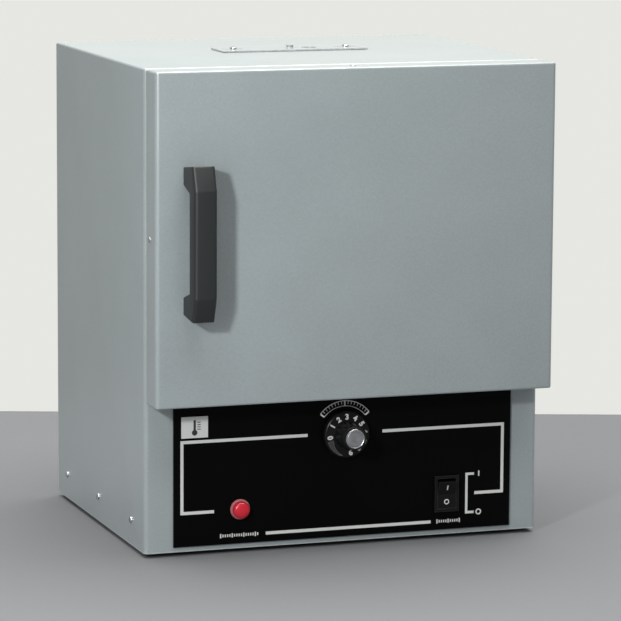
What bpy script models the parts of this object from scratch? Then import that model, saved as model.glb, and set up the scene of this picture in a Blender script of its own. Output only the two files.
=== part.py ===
"""A bench drying oven: an insulated chamber over an electrics bay, closed by a side-hinged door.

Metres, X to the right, Y to the back, Z up. The cabinet is laid out from the middle of its width,
its front plane and the surface that it stands on. One empty then carries it all, so that the
origin lies under the middle of the whole part.
"""

import math

import bmesh
import bpy
from mathutils import Euler, Matrix, Vector

MM = 0.001

# Clearances and the fineness of round shapes
GAP = 0.3 * MM  # between pieces that touch
OVERRUN = 5 * MM  # how far a cutter runs past what it cuts
MERGE = 0.01 * MM  # points closer than this are one
ROUND_SIDES = 24
SMALL_SIDES = 12
BEND_SEGMENTS = 3
SOFT_SEGMENTS = 2
CORNER_STEPS = 4
FOLD_ANGLE = math.radians(30)  # edges sharper than this are rounded
FLAT_ANGLE = math.radians(3)  # faces that meet at less than this are one
QUARTER_TURN = math.radians(90)

# Outer case
BODY_WIDTH = 362 * MM
BODY_DEPTH = 282 * MM
BODY_HEIGHT = 418 * MM
CASE_SHEET = 1.2 * MM
CASE_BEND = 3 * MM
BASE_FLANGE = 36 * MM
BASE_FRONT_FLANGE = 10 * MM
REAR_FLANGE = 12 * MM
BAY_HEIGHT = 132 * MM  # from the base edge to the plate over the electrics
BAY_PLATE_FLANGE = 14 * MM
BAY_OPENING_SIDE = 41 * MM  # from the case's side
BAY_OPENING_LOW = 12 * MM
BAY_OPENING_DROP = 18 * MM  # below the bay's top

# Feet
FOOT_HEIGHT = 4 * MM
FOOT_RADIUS = 12 * MM
FOOT_EDGE = 1 * MM
FOOT_STUD_RADIUS = 3 * MM
FOOT_STUD_RISE = 4 * MM
FOOT_INSET = 30 * MM

# Fasteners
SCREW_RADIUS = 1.5 * MM
SCREW_LENGTH = 5 * MM
SCREW_HEAD_RADIUS = 2.6 * MM
SCREW_HEAD_HEIGHT = 1.8 * MM
SIDE_SCREW_RISE = 22 * MM
SIDE_SCREW_FRONT = 41 * MM
SIDE_SCREW_BACK = 33 * MM  # from the case's back edge
SIDE_SCREW_COUNT = 3
HEAD_SHAPE_SHARES = ((0.0, 1.0), (0.55, 0.86), (0.9, 0.42), (1.0, 0.0))

# Chamber, from how far its inside lies from the body's sides, the door's ends and the body's back
CHAMBER_SIDE_WALL = 31 * MM
CHAMBER_END_WALL = 25 * MM
CHAMBER_REAR_WALL = 32.5 * MM
LINER_SHEET = 1 * MM
LINER_FLANGE = 10 * MM
INSULATION_CORNER = 3 * MM

# Heating element and the plate over it
ELEMENT_RADIUS = 3.2 * MM
ELEMENT_RISE = 11 * MM
ELEMENT_SIDE_GAP = 40 * MM  # from the chamber's side
ELEMENT_FRONT = 40 * MM
ELEMENT_REAR_GAP = 24.5 * MM  # from the chamber's back
ELEMENT_LOOP_STEP = 40 * MM  # from the outer run to the inner one
ELEMENT_LOOP = 80 * MM
ELEMENT_LEG_SPACING = 40 * MM
ELEMENT_BEND = 13 * MM
ELEMENT_TERMINAL = 6 * MM
ELEMENT_PLATE_WIDTH = 64 * MM
ELEMENT_PLATE_HEIGHT = 16 * MM
ELEMENT_PLATE_SHEET = 2 * MM
FLOOR_RISE = 24 * MM
FLOOR_SIDE_PLAY = 3 * MM
FLOOR_END_PLAY = 5 * MM
FLOOR_BEND = 2 * MM
FLOOR_SLOT_MARGIN = 15 * MM
FLOOR_SLOT_LENGTH = 30 * MM
FLOOR_SLOT_WIDTH = 9 * MM
FLOOR_SLOT_PITCH_X = 45 * MM
FLOOR_SLOT_PITCH_Y = 50 * MM

# Shelves and their runners
RUNNER_SHEET = 1 * MM
RUNNER_END_PLAY = 9 * MM
RUNNER_REAR_GAP = 14 * MM
RUNNER_LOW = 36 * MM
RUNNER_HEADROOM = 10 * MM
LEDGE_WIDTH = 9 * MM
LEDGE_FIRST = 54 * MM
LEDGE_PITCH = 45 * MM
UPPER_SHELF_DROP = 2  # ledges from the count
SHELF_SIDE_PLAY = 0.7 * MM
SHELF_REST = 25 * MM  # front lip to the front plane
SHELF_REAR_GAP = 16.5 * MM
SHELF_LIP = 8 * MM
SHELF_SHEET = 1.2 * MM
SHELF_BEND = 2 * MM
SHELF_SLOT_WIDTH = 23 * MM
SHELF_SLOT_PITCH = 34 * MM
SHELF_SLOT_MARGIN = 16 * MM

# Door
DOOR_THICKNESS = 33 * MM
DOOR_GAP = 1.5 * MM  # between the door's rim and the cabinet
DOOR_SHEET = 1.2 * MM
DOOR_BEND = 3 * MM
DOOR_LINER_SHEET = 1 * MM
DOOR_LINER_RECESS = 5 * MM
DOOR_LINER_FLANGE = 22 * MM
SEAL_INSET = 4 * MM
SEAL_WIDTH = 12 * MM
SEAL_ROUNDING = 2 * MM

# Handle: a moulded bridge, drawn as (distance from the door, distance from its middle)
HANDLE_INSET = 34 * MM  # the handle's middle to the door's edge
HANDLE_WIDTH = 20 * MM
HANDLE_REACH = 33.5 * MM
HANDLE_SHOULDER = 26 * MM
HANDLE_GRIP_BACK = 18.5 * MM
HANDLE_FOOT_OUTER = 62 * MM
HANDLE_FOOT_INNER = 50 * MM
HANDLE_CORNER = 66 * MM
HANDLE_FACE_HALF = 49 * MM
HANDLE_BOW_HALF = 46.5 * MM
HANDLE_EDGE = 2.4 * MM
HANDLE_SCREW_RADIUS = 2 * MM
HANDLE_SCREW_BITE = 12 * MM
HANDLE_SCREW_HEAD_RADIUS = 4 * MM
HANDLE_SCREW_HEAD_HEIGHT = 2.4 * MM

# Hinges
HINGE_HEIGHT = 50 * MM
HINGE_INSET = 20 * MM  # hinge end to the door's end
HINGE_LEAF = 1.2 * MM
HINGE_LEAF_WIDTH = 25 * MM
HINGE_KNUCKLE_RADIUS = 3.2 * MM
HINGE_TUCK = 0.2 * MM  # how far the leaf's face lies outside the knuckle
HINGE_PIN_RADIUS = 1.5 * MM
HINGE_PIN_HEAD_RADIUS = 2.4 * MM
HINGE_PIN_HEAD_HEIGHT = 1.2 * MM
HINGE_KNUCKLE_SHARE = 0.46  # the door knuckle's share of the height
HINGE_KNUCKLE_PLAY = 0.6 * MM

# Magnetic catch
CATCH_INSET = 3 * MM  # from the case's side to the catch
CATCH_WIDTH = 9.5 * MM
CATCH_HEIGHT = 30 * MM
CATCH_DEPTH = 14 * MM
CATCH_STAND = 1 * MM
CATCH_AIR = 0.5 * MM

# Control panel
PANEL_SIDE_GAP = 25.5 * MM  # from the case's side
PANEL_LOW = 4.5 * MM  # above the base edge
PANEL_DOOR_PLAY = 1 * MM
PANEL_SHEET = 1.5 * MM

# Thermostat and dial
DIAL_DROP = 36 * MM  # below the bay's top
THERMOSTAT_WIDTH = 44 * MM
THERMOSTAT_HEIGHT = 34 * MM
THERMOSTAT_DEPTH = 36 * MM
THERMOSTAT_NECK_RADIUS = 5 * MM
THERMOSTAT_NECK_STAND = 0.5 * MM
THERMOSTAT_BORE_DEPTH = 15 * MM
SHAFT_RADIUS = 3 * MM
SHAFT_STAND = 18 * MM
KNOB_AIR = 1.2 * MM  # between the skirt and the panel
SKIRT_RADIUS = 20.5 * MM
SKIRT_HEIGHT = 7.6 * MM
SKIRT_BEVEL = 1.2 * MM
HUB_BASE_RADIUS = 12 * MM
HUB_TOP_RADIUS = 10 * MM
HUB_HEIGHT = 28 * MM
HUB_RIM = 0.8 * MM
CAP_RADIUS = 8.6 * MM
CAP_HEIGHT = 1.4 * MM
CAP_RECESS = 1 * MM

# Sensing bulb and its capillary
BULB_RADIUS = 4 * MM
BULB_LENGTH = 80 * MM
BULB_RISE = 120 * MM  # above the chamber floor
BULB_WALL = 7 * MM  # bulb middle to the chamber's back
CAPILLARY_RADIUS = 1 * MM
CAPILLARY_BEND = 6 * MM
CAPILLARY_SIDE = 60 * MM
CAPILLARY_RISE = 8 * MM  # above the dial's middle
CAPILLARY_START = 36 * MM  # behind the thermostat
CAPILLARY_TURN = 108 * MM
CLIP_WIDTH = 8 * MM
CLIP_HEIGHT = 14 * MM
CLIP_WALL = 2.5 * MM

# Pilot lamp
LAMP_INSET = 85.5 * MM  # from the case's side
LAMP_RISE = 34.7 * MM
LAMP_RIM_RADIUS = 9 * MM
LAMP_RIM_HEIGHT = 2 * MM
LAMP_BARREL_RADIUS = 6.2 * MM
LAMP_BARREL_LENGTH = 24 * MM
LENS_RADIUS = 7.4 * MM
LENS_HEIGHT = 6 * MM
LENS_SHAPE_SHARES = ((0.0, 1.0), (0.45, 0.93), (0.8, 0.68), (1.0, 0.3), (1.0, 0.0), (0.0, 0.0))

# Rocker switch
SWITCH_INSET = 86 * MM  # from the case's side
SWITCH_RISE = 37 * MM
SWITCH_RIM_WIDTH = 22.4 * MM
SWITCH_RIM_LENGTH = 32.2 * MM
SWITCH_RIM_HEIGHT = 2.5 * MM
SWITCH_BODY_WIDTH = 20.4 * MM
SWITCH_BODY_LENGTH = 30.2 * MM
SWITCH_BODY_DEPTH = 16 * MM
SWITCH_WALL = 1.5 * MM
SWITCH_POCKET_DEPTH = 10 * MM
ROCKER_PLAY = 1.1 * MM
ROCKER_CREST = 5.6 * MM
ROCKER_DIP = 3.4 * MM
ROCKER_KEEL = 5.5 * MM
ROCKER_PIVOT_DEPTH = 1 * MM
ROCKER_TILT = math.radians(10)
TRUNNION_RADIUS = 1.5 * MM
TRUNNION_LENGTH = 0.9 * MM
ROCKER_SECTION_SHARES = ((1.0, 1.0), (0.8, -0.73), (0.0, -1.0), (-0.8, -0.73), (-1.0, 1.0))

# Mains inlet on the back
INLET_INSET = 71 * MM  # from the case's side
INLET_RISE = 46 * MM
INLET_FLANGE_WIDTH = 34 * MM
INLET_FLANGE_HEIGHT = 27 * MM
INLET_FLANGE_SHEET = 2 * MM
INLET_BODY_WIDTH = 29 * MM
INLET_BODY_HEIGHT = 22 * MM
INLET_BODY_DEPTH = 24 * MM
INLET_RECESS_WIDTH = 24.4 * MM
INLET_RECESS_HEIGHT = 16.6 * MM
INLET_RECESS_DEPTH = 17 * MM
INLET_PIN_WIDTH = 2 * MM
INLET_PIN_HEIGHT = 4 * MM
INLET_PIN_SETBACK = 5.5 * MM
INLET_TAB = 5 * MM
INLET_PIN_SPACING = 7 * MM
INLET_EARTH_RISE = 4 * MM

# Cooling slots
COOLING_COLUMNS = 8
COOLING_ROWS = 2
COOLING_SLOT_WIDTH = 4 * MM
COOLING_SLOT_LENGTH = 28 * MM
COOLING_PITCH = 12 * MM
COOLING_ROW_PITCH = 38 * MM
COOLING_INSET = 86 * MM  # from the case's side
COOLING_RISE = 70 * MM

# Chamber vent and its slide
VENT_SIDE = 27 * MM
VENT_BACK = 152 * MM
VENT_RADIUS = 7 * MM
VENT_WALL = 1 * MM
VENT_INTO_CHAMBER = 3 * MM
VENT_TRAVEL = 9 * MM  # each way from half open
SLIDE_WIDTH = 136 * MM
SLIDE_DEPTH = 38 * MM
SLIDE_SHEET = 1.2 * MM
SLIDE_SCREW_SIDE = 53 * MM
SLIDE_SLOT_PLAY = 0.5 * MM
SLIDE_BUTTON_RADIUS = 3.2 * MM
SLIDE_BUTTON_HEIGHT = 3 * MM

# The lead from the thermostat to the element
LEAD_RADIUS = 1.5 * MM
LEAD_BEND = 12 * MM
ELEMENT_LEAD_DROP = 8 * MM  # below the dial's middle
ELEMENT_LEAD_START = 36 * MM  # behind the thermostat
ELEMENT_LEAD_TURN = 74 * MM

# Where things lie, worked out from the sizes above
SIDE = BODY_WIDTH / 2
BASE = FOOT_HEIGHT
TOP = BASE + BODY_HEIGHT
INNER_SIDE = SIDE - CASE_SHEET - GAP
INNER_FRONT = CASE_SHEET + GAP
INNER_TOP = TOP - CASE_SHEET - GAP
REAR_FLANGE_FRONT = BODY_DEPTH - REAR_FLANGE
REAR_LIMIT = REAR_FLANGE_FRONT - GAP
DOOR_LOW = BASE + BAY_HEIGHT
DOOR_MIDDLE = (DOOR_LOW + TOP) / 2
DOOR_REAR = -DOOR_GAP
DOOR_FRONT = DOOR_REAR - DOOR_THICKNESS
DOOR_LINER_FACE = DOOR_REAR - DOOR_LINER_RECESS
HALF_CHAMBER = SIDE - CHAMBER_SIDE_WALL
CHAMBER_LOW = DOOR_LOW + CHAMBER_END_WALL
CHAMBER_TOP = TOP - CHAMBER_END_WALL
CHAMBER_BACK = BODY_DEPTH - CHAMBER_REAR_WALL
BAY_PLATE_TOP = DOOR_LOW + CASE_SHEET
PANEL_BACK = -GAP
PANEL_FACE = PANEL_BACK - PANEL_SHEET
DIAL_HEIGHT = DOOR_LOW - DIAL_DROP
LAMP_SIDE = SIDE - LAMP_INSET
SWITCH_SIDE = SIDE - SWITCH_INSET
INLET_SIDE = SIDE - INLET_INSET
COOLING_SIDE = SIDE - COOLING_INSET
ELEMENT_HEIGHT = CHAMBER_LOW + ELEMENT_RISE
ELEMENT_BACK = CHAMBER_BACK - ELEMENT_REAR_GAP
RUNNER_FACE = HALF_CHAMBER - GAP - RUNNER_SHEET  # from the middle
RUNNER_TOP = CHAMBER_TOP - RUNNER_HEADROOM
SHELF_BACK = CHAMBER_BACK - SHELF_REAR_GAP
BULB_HEIGHT = CHAMBER_LOW + BULB_RISE
BULB_BACK = CHAMBER_BACK - BULB_WALL
REAR_AIR = (REAR_LIMIT + BODY_DEPTH - CASE_SHEET) / 2
HINGE_SIDE = SIDE + GAP + HINGE_TUCK + HINGE_KNUCKLE_RADIUS
HINGE_BACK = DOOR_REAR / 2
HANDLE_SIDE = HANDLE_INSET - SIDE
HANDLE_SCREW_RISE = (HANDLE_FOOT_OUTER + HANDLE_FOOT_INNER) / 2
SWITCH_HEIGHT = BASE + SWITCH_RISE
SWITCH_PIVOT = PANEL_FACE + ROCKER_PIVOT_DEPTH
SWITCH_POCKET_WIDTH = SWITCH_BODY_WIDTH - 2 * SWITCH_WALL
SWITCH_POCKET_LENGTH = SWITCH_BODY_LENGTH - 2 * SWITCH_WALL
ROCKER_HALF_LENGTH = SWITCH_POCKET_LENGTH / 2 - ROCKER_PLAY
INLET_HEIGHT = BASE + INLET_RISE
INLET_FACE = BODY_DEPTH + GAP + INLET_FLANGE_SHEET
INLET_FLOOR = INLET_FACE - INLET_RECESS_DEPTH
INLET_INSIDE = INLET_FACE - INLET_BODY_DEPTH

# The whole part's reach on each side, which puts the origin under its middle
LEFT_REACH = SIDE + GAP + SCREW_HEAD_HEIGHT
RIGHT_REACH = HINGE_SIDE + HINGE_KNUCKLE_RADIUS
FRONT_REACH = HANDLE_REACH + GAP - DOOR_FRONT
BACK_REACH = INLET_FACE
ORIGIN_SHIFT = Vector(((LEFT_REACH - RIGHT_REACH) / 2, (FRONT_REACH - BACK_REACH) / 2, 0))

# name: colour, roughness, metallic
FINISHES = {
    "grey_paint": ((0.30, 0.33, 0.34), 0.42, 0.0),
    "black_panel": ((0.010, 0.011, 0.011), 0.35, 0.0),
    "black_plastic": ((0.022, 0.024, 0.024), 0.38, 0.0),
    "steel": ((0.55, 0.56, 0.57), 0.30, 1.0),
    "zinc_steel": ((0.50, 0.51, 0.52), 0.45, 1.0),
    "element_sheath": ((0.14, 0.13, 0.12), 0.50, 1.0),
    "mineral_wool": ((0.62, 0.56, 0.36), 0.95, 0.0),
    "silicone": ((0.55, 0.17, 0.10), 0.60, 0.0),
    "silver_cap": ((0.45, 0.46, 0.48), 0.30, 1.0),
    "red_lens": ((0.58, 0.03, 0.05), 0.12, 0.0),
    "lamp_rim": ((0.62, 0.60, 0.58), 0.35, 0.0),
    "rubber": ((0.03, 0.03, 0.03), 0.80, 0.0),
    "magnet": ((0.07, 0.07, 0.08), 0.60, 0.0),
    "copper": ((0.60, 0.30, 0.16), 0.35, 1.0),
    "brass": ((0.62, 0.47, 0.18), 0.35, 1.0),
    "lead_sleeve": ((0.65, 0.62, 0.56), 0.70, 0.0),
}

# Each side of a box: its sign and the axis that it faces along
FACINGS = {"left": "-X", "right": "+X", "front": "-Y", "back": "+Y", "bottom": "-Z", "top": "+Z"}

# The quarter turn that lays an object's own Z along a world direction: its sign and its axis
QUARTER_TURNS = {"right": "+Y", "left": "-Y", "front": "+X", "back": "-X"}


def clear_scene():
    for item in list(bpy.data.objects):
        bpy.data.objects.remove(item, do_unlink=True)


def make_collection(name):
    group = bpy.data.collections.new(name)
    bpy.context.scene.collection.children.link(group)
    return group


def turn_towards(towards):
    """The rotation that lays an object's own Z along the named direction."""
    turn = Euler()
    if towards in QUARTER_TURNS:
        sign, axis = QUARTER_TURNS[towards]
        turn.rotate_axis(axis, -QUARTER_TURN if sign == "-" else QUARTER_TURN)
    return turn


def faces_side(face, side):
    """Whether the face looks towards the named side."""
    sign, axis = FACINGS[side]
    reach = getattr(face.normal, axis.lower())
    return round(-reach if sign == "-" else reach) > 0


clear_scene()
PARTS = make_collection("drying_oven")
CUTTERS = make_collection("cutters")


def make_finish(name):
    """The material of that name, made once."""
    material = bpy.data.materials.get(name)
    if material:
        return material
    colour, roughness, metallic = FINISHES[name]
    material = bpy.data.materials.new(name)
    material.use_nodes = True
    shader = material.node_tree.nodes["Principled BSDF"]
    shader.inputs["Base Color"].default_value = (*colour, 1)
    shader.inputs["Roughness"].default_value = roughness
    shader.inputs["Metallic"].default_value = metallic
    material.diffuse_color = (*colour, 1)
    return material


def make_empty(name, location, parent=None):
    item = bpy.data.objects.new(name, None)
    PARTS.objects.link(item)
    item.location = location
    item.parent = parent
    return item


OVEN = make_empty("drying_oven_origin", ORIGIN_SHIFT)
DOOR_AXIS = make_empty("door_hinge_axis", (HINGE_SIDE, HINGE_BACK, DOOR_MIDDLE), OVEN)
DIAL_AXIS = make_empty("dial_axis", (0, PANEL_FACE, DIAL_HEIGHT), OVEN)
ROCKER_AXIS = make_empty("rocker_axis", (SWITCH_SIDE, SWITCH_PIVOT, SWITCH_HEIGHT), OVEN)


def add(name, data, location, finish=None, carrier=OVEN, turn=(0, 0, 0)):
    """A named object at a place in the cabinet, carried by the oven or by a joint's axis."""
    item = bpy.data.objects.new(name, data)
    PARTS.objects.link(item)
    item.parent = carrier
    held = Vector((0, 0, 0)) if carrier == OVEN else carrier.location
    item.location = Vector(location) - held
    item.rotation_euler = turn
    if finish:
        data.materials.append(make_finish(finish))
    return item


def hide_as_tool(tool):
    """Puts a shape that only cuts or joins others among the cutters."""
    if tool.name not in CUTTERS.objects:
        PARTS.objects.unlink(tool)
        CUTTERS.objects.link(tool)
    tool.hide_render = True
    tool.display_type = "WIRE"


def combine(item, tool, operation):
    modifier = item.modifiers.new(tool.name, "BOOLEAN")
    modifier.operation = operation
    modifier.solver = "EXACT"
    modifier.object = tool
    hide_as_tool(tool)


def cut(item, *tools):
    for tool in tools:
        combine(item, tool, "DIFFERENCE")


def fuse(item, *tools):
    for tool in tools:
        combine(item, tool, "UNION")


def round_edges(item, width, segments=BEND_SEGMENTS):
    modifier = item.modifiers.new("rounded_edges", "BEVEL")
    modifier.width = width
    modifier.segments = segments
    modifier.limit_method = "ANGLE"
    modifier.angle_limit = FOLD_ANGLE


def middle(low, high):
    return (Vector(low) + Vector(high)) / 2


def box_matrix(low, high, centre):
    size = Vector(high) - Vector(low)
    return Matrix.Translation(middle(low, high) - centre) @ Matrix.Diagonal((*size, 1))


def finish_mesh(name, bm, smooth=False):
    mesh = bpy.data.meshes.new(name)
    bm.to_mesh(mesh)
    bm.free()
    if smooth:
        mesh.shade_smooth()
        mesh.set_sharp_from_angle(angle=FOLD_ANGLE)
    return mesh


def boxes(name, spans, finish=None, carrier=OVEN):
    """One object that holds a box for each (low, high) pair of corners."""
    lows, highs = zip(*spans)
    centre = middle([min(c) for c in zip(*lows)], [max(c) for c in zip(*highs)])
    bm = bmesh.new()
    for low, high in spans:
        bmesh.ops.create_cube(bm, size=1, matrix=box_matrix(low, high, centre))
    return add(name, finish_mesh(name, bm), centre, finish, carrier)


def box(name, low, high, finish=None, carrier=OVEN):
    return boxes(name, [(low, high)], finish, carrier)


def drums(name, centres, radius, length, towards, finish=None, carrier=OVEN, sides=SMALL_SIDES):
    """One object that holds an upright-ended cylinder at each centre, along the named direction."""
    origin = Vector(centres[0])
    turn = turn_towards(towards).to_matrix().to_4x4()
    bm = bmesh.new()
    for centre in centres:
        place = Matrix.Translation(Vector(centre) - origin) @ turn
        bmesh.ops.create_cone(bm, cap_ends=True, segments=sides, radius1=radius, radius2=radius, depth=length,
                              matrix=place)
    return add(name, finish_mesh(name, bm, smooth=True), origin, finish, carrier)


def turned(name, profile, location, towards, finish, carrier=OVEN, sides=ROUND_SIDES, ring=False):
    """A profile of (radius, height) turned about the line that leaves location in the named direction."""
    count = len(profile)
    edges = [(i, (i + 1) % count) for i in range(count if ring else count - 1)]
    mesh = bpy.data.meshes.new(name)
    mesh.from_pydata([(radius, 0, height) for radius, height in profile], edges, [])
    item = add(name, mesh, location, finish, carrier, turn_towards(towards))
    modifier = item.modifiers.new("turned", "SCREW")
    modifier.axis = "Z"
    modifier.angle = 2 * math.pi
    modifier.steps = sides
    modifier.render_steps = sides
    modifier.use_merge_vertices = True
    modifier.merge_threshold = MERGE
    modifier.use_smooth_shade = True
    return item


def folded_box(name, low, high, open_sides, sheet, bend, finish, carrier=OVEN, flange=0):
    """A box folded from sheet, its named sides left open. A flange turns outward at an open front."""
    centre = middle(low, high)
    bm = bmesh.new()
    bmesh.ops.create_cube(bm, size=1, matrix=box_matrix(low, high, centre))
    bm.normal_update()
    removed = [face for face in bm.faces if any(faces_side(face, side) for side in open_sides)]
    bmesh.ops.delete(bm, geom=removed, context="FACES")
    if flange:
        rim = [edge for edge in bm.edges if edge.is_boundary and all(vert.co.y < 0 for vert in edge.verts)]
        grown = bmesh.ops.extrude_edge_only(bm, edges=rim)["geom"]
        for vert in (v for v in grown if isinstance(v, bmesh.types.BMVert)):
            vert.co.x += math.copysign(flange, vert.co.x)
            vert.co.z += math.copysign(flange, vert.co.z)
    item = add(name, finish_mesh(name, bm), centre, finish, carrier)
    if bend:
        round_edges(item, bend)
    modifier = item.modifiers.new("sheet", "SOLIDIFY")
    modifier.thickness = sheet
    modifier.offset = -1
    modifier.use_even_offset = True
    if flange:
        modifier.solidify_mode = "NON_MANIFOLD"
        modifier.nonmanifold_thickness_mode = "CONSTRAINTS"
    return item


def meshed(item):
    """The same object with its curve made a mesh of one skin, ready to be cut."""
    bpy.context.view_layer.update()
    evaluated = item.evaluated_get(bpy.context.evaluated_depsgraph_get())
    mesh = bpy.data.meshes.new_from_object(evaluated)
    bm = bmesh.new()
    bm.from_mesh(mesh)
    bmesh.ops.remove_doubles(bm, verts=bm.verts, dist=MERGE)
    bmesh.ops.dissolve_limit(bm, angle_limit=FLAT_ANGLE, verts=bm.verts, edges=bm.edges)
    bm.to_mesh(mesh)
    bm.free()
    name, location, parent, turn = item.name, item.location.copy(), item.parent, item.rotation_euler.copy()
    bpy.data.objects.remove(item, do_unlink=True)
    solid = bpy.data.objects.new(name, mesh)
    PARTS.objects.link(solid)
    solid.parent = parent
    solid.location = location
    solid.rotation_euler = turn
    return solid


def side_outline(name, outline, thickness, location, finish, carrier):
    """An outline of (forward, up) points, as thick as given from left to right, about location."""
    curve = bpy.data.curves.new(name, "CURVE")
    curve.dimensions = "2D"
    curve.fill_mode = "BOTH"
    curve.extrude = thickness / 2
    spline = curve.splines.new("POLY")
    spline.points.add(len(outline) - 1)
    for point, (forward, up) in zip(spline.points, outline):
        point.co.xyz = (forward, up, 0)
    spline.use_cyclic_u = True
    facing = Matrix(((0, 0, -1), (-1, 0, 0), (0, 1, 0)))
    return meshed(add(name, curve, location, finish, carrier, facing.to_euler()))


def rounded_route(points, radius):
    """The straight runs between the points, with each corner turned on an arc of the radius."""
    points = [Vector(point) for point in points]
    route = [points[0]]
    for before, corner, after in zip(points, points[1:], points[2:]):
        back = (before - corner).normalized()
        ahead = (after - corner).normalized()
        half = back.angle(ahead) / 2
        centre = corner + (back + ahead).normalized() * radius / math.sin(half)
        spoke = corner + back * radius / math.tan(half) - centre
        axis = back.cross(ahead)
        for step in range(CORNER_STEPS + 1):
            turn = Matrix.Rotation(-(math.pi - 2 * half) * step / CORNER_STEPS, 3, axis)
            route.append(centre + turn @ spoke)
    return route + [points[-1]]


def tube(name, route, radius, finish):
    origin = route[0]
    curve = bpy.data.curves.new(name, "CURVE")
    curve.dimensions = "3D"
    curve.bevel_depth = radius
    curve.bevel_resolution = 2
    curve.use_fill_caps = True
    spline = curve.splines.new("POLY")
    spline.points.add(len(route) - 1)
    for point, place in zip(spline.points, route):
        point.co.xyz = place - origin
    return add(name, curve, origin, finish)


def screw_profile(head_radius, head_height, shank_radius, shank_length):
    """A domed screw, standing on the surface at height zero, with its shank below it."""
    head = [(head_radius * out, GAP + head_height * up) for out, up in HEAD_SHAPE_SHARES]
    return head + [(shank_radius, GAP), (shank_radius, -shank_length), (0, -shank_length)]


def count_in(room, length, pitch):
    """How many features of that length, a pitch apart, the room holds."""
    return 1 + int((room - length) / pitch)


def spread(count, pitch):
    """Places a pitch apart, about their middle."""
    return [(i - (count - 1) / 2) * pitch for i in range(count)]


def side_screw_places():
    pitch = (BODY_DEPTH - SIDE_SCREW_FRONT - SIDE_SCREW_BACK) / (SIDE_SCREW_COUNT - 1)
    return [(SIDE_SCREW_FRONT + pitch * i, BASE + SIDE_SCREW_RISE) for i in range(SIDE_SCREW_COUNT)]


def side_screw_holes():
    centres = [(0, back, up) for back, up in side_screw_places()]
    return drums("side_screw_holes", centres, SCREW_RADIUS + GAP, BODY_WIDTH + OVERRUN, "right")


def slide_screw_holes():
    centres = [(side, VENT_BACK, TOP) for side in (-SLIDE_SCREW_SIDE, SLIDE_SCREW_SIDE)]
    return drums("slide_screw_holes", centres, SCREW_RADIUS + GAP, 4 * OVERRUN, "up")


def catch_side():
    return CATCH_INSET - SIDE


def catch_slot():
    low = (catch_side() - GAP, -OVERRUN, DOOR_MIDDLE - CATCH_HEIGHT / 2 - GAP)
    high = (catch_side() + CATCH_WIDTH + GAP, CATCH_DEPTH + GAP, DOOR_MIDDLE + CATCH_HEIGHT / 2 + GAP)
    return box("catch_slot", low, high)


def make_outer_case(holes):
    case = folded_box("outer_case", (-SIDE, 0, BASE), (SIDE, BODY_DEPTH, TOP), ("bottom", "back"),
                      CASE_SHEET, CASE_BEND, "grey_paint")
    half_bay = SIDE - BAY_OPENING_SIDE
    openings = boxes("case_openings", [
        ((-HALF_CHAMBER, -OVERRUN, CHAMBER_LOW), (HALF_CHAMBER, OVERRUN, CHAMBER_TOP)),
        ((-half_bay, -OVERRUN, BASE + BAY_OPENING_LOW), (half_bay, OVERRUN, DOOR_LOW - BAY_OPENING_DROP))])
    vent = drums("case_vent", [(VENT_SIDE, VENT_BACK, TOP)], VENT_RADIUS, OVERRUN, "up", sides=ROUND_SIDES)
    cut(case, openings, vent, holes["slide_screws"], holes["catch"], holes["side_screws"])


def foot_places():
    sides = (FOOT_INSET - SIDE, SIDE - FOOT_INSET)
    return [(side, back) for back in (FOOT_INSET, BODY_DEPTH - FOOT_INSET) for side in sides]


def make_base_pan(holes):
    high = BASE + BASE_FLANGE
    pan = folded_box("base_pan", (-INNER_SIDE, INNER_FRONT, BASE), (INNER_SIDE, REAR_LIMIT, high),
                     ("top", "back"), CASE_SHEET, CASE_BEND, "zinc_steel")
    inside = INNER_SIDE - CASE_BEND
    front_cut = box("base_front_cut", (-inside, -OVERRUN, BASE + BASE_FRONT_FLANGE),
                    (inside, INNER_FRONT + CASE_BEND, high + OVERRUN))
    studs = drums("foot_holes", [(side, back, BASE) for side, back in foot_places()],
                  FOOT_STUD_RADIUS + GAP, OVERRUN, "up")
    cut(pan, front_cut, studs, holes["side_screws"])


def make_feet():
    stud_top = BASE + CASE_SHEET + FOOT_STUD_RISE
    seat = BASE - GAP
    profile = [(0, stud_top), (FOOT_STUD_RADIUS, stud_top), (FOOT_STUD_RADIUS, seat), (FOOT_RADIUS, seat),
               (FOOT_RADIUS, FOOT_EDGE), (FOOT_RADIUS - FOOT_EDGE, 0), (0, 0)]
    names = ("foot_front_left", "foot_front_right", "foot_rear_left", "foot_rear_right")
    for name, (side, back) in zip(names, foot_places()):
        turned(name, profile, (side, back, 0), "up", "rubber", sides=SMALL_SIDES)


def make_side_screws():
    profile = screw_profile(SCREW_HEAD_RADIUS, SCREW_HEAD_HEIGHT, SCREW_RADIUS, SCREW_LENGTH)
    for number, (back, up) in enumerate(side_screw_places(), 1):
        for towards, side in (("left", -SIDE), ("right", SIDE)):
            turned(f"side_screw_{towards}_{number}", profile, (side, back, up), towards, "steel",
                   sides=SMALL_SIDES)


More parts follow.
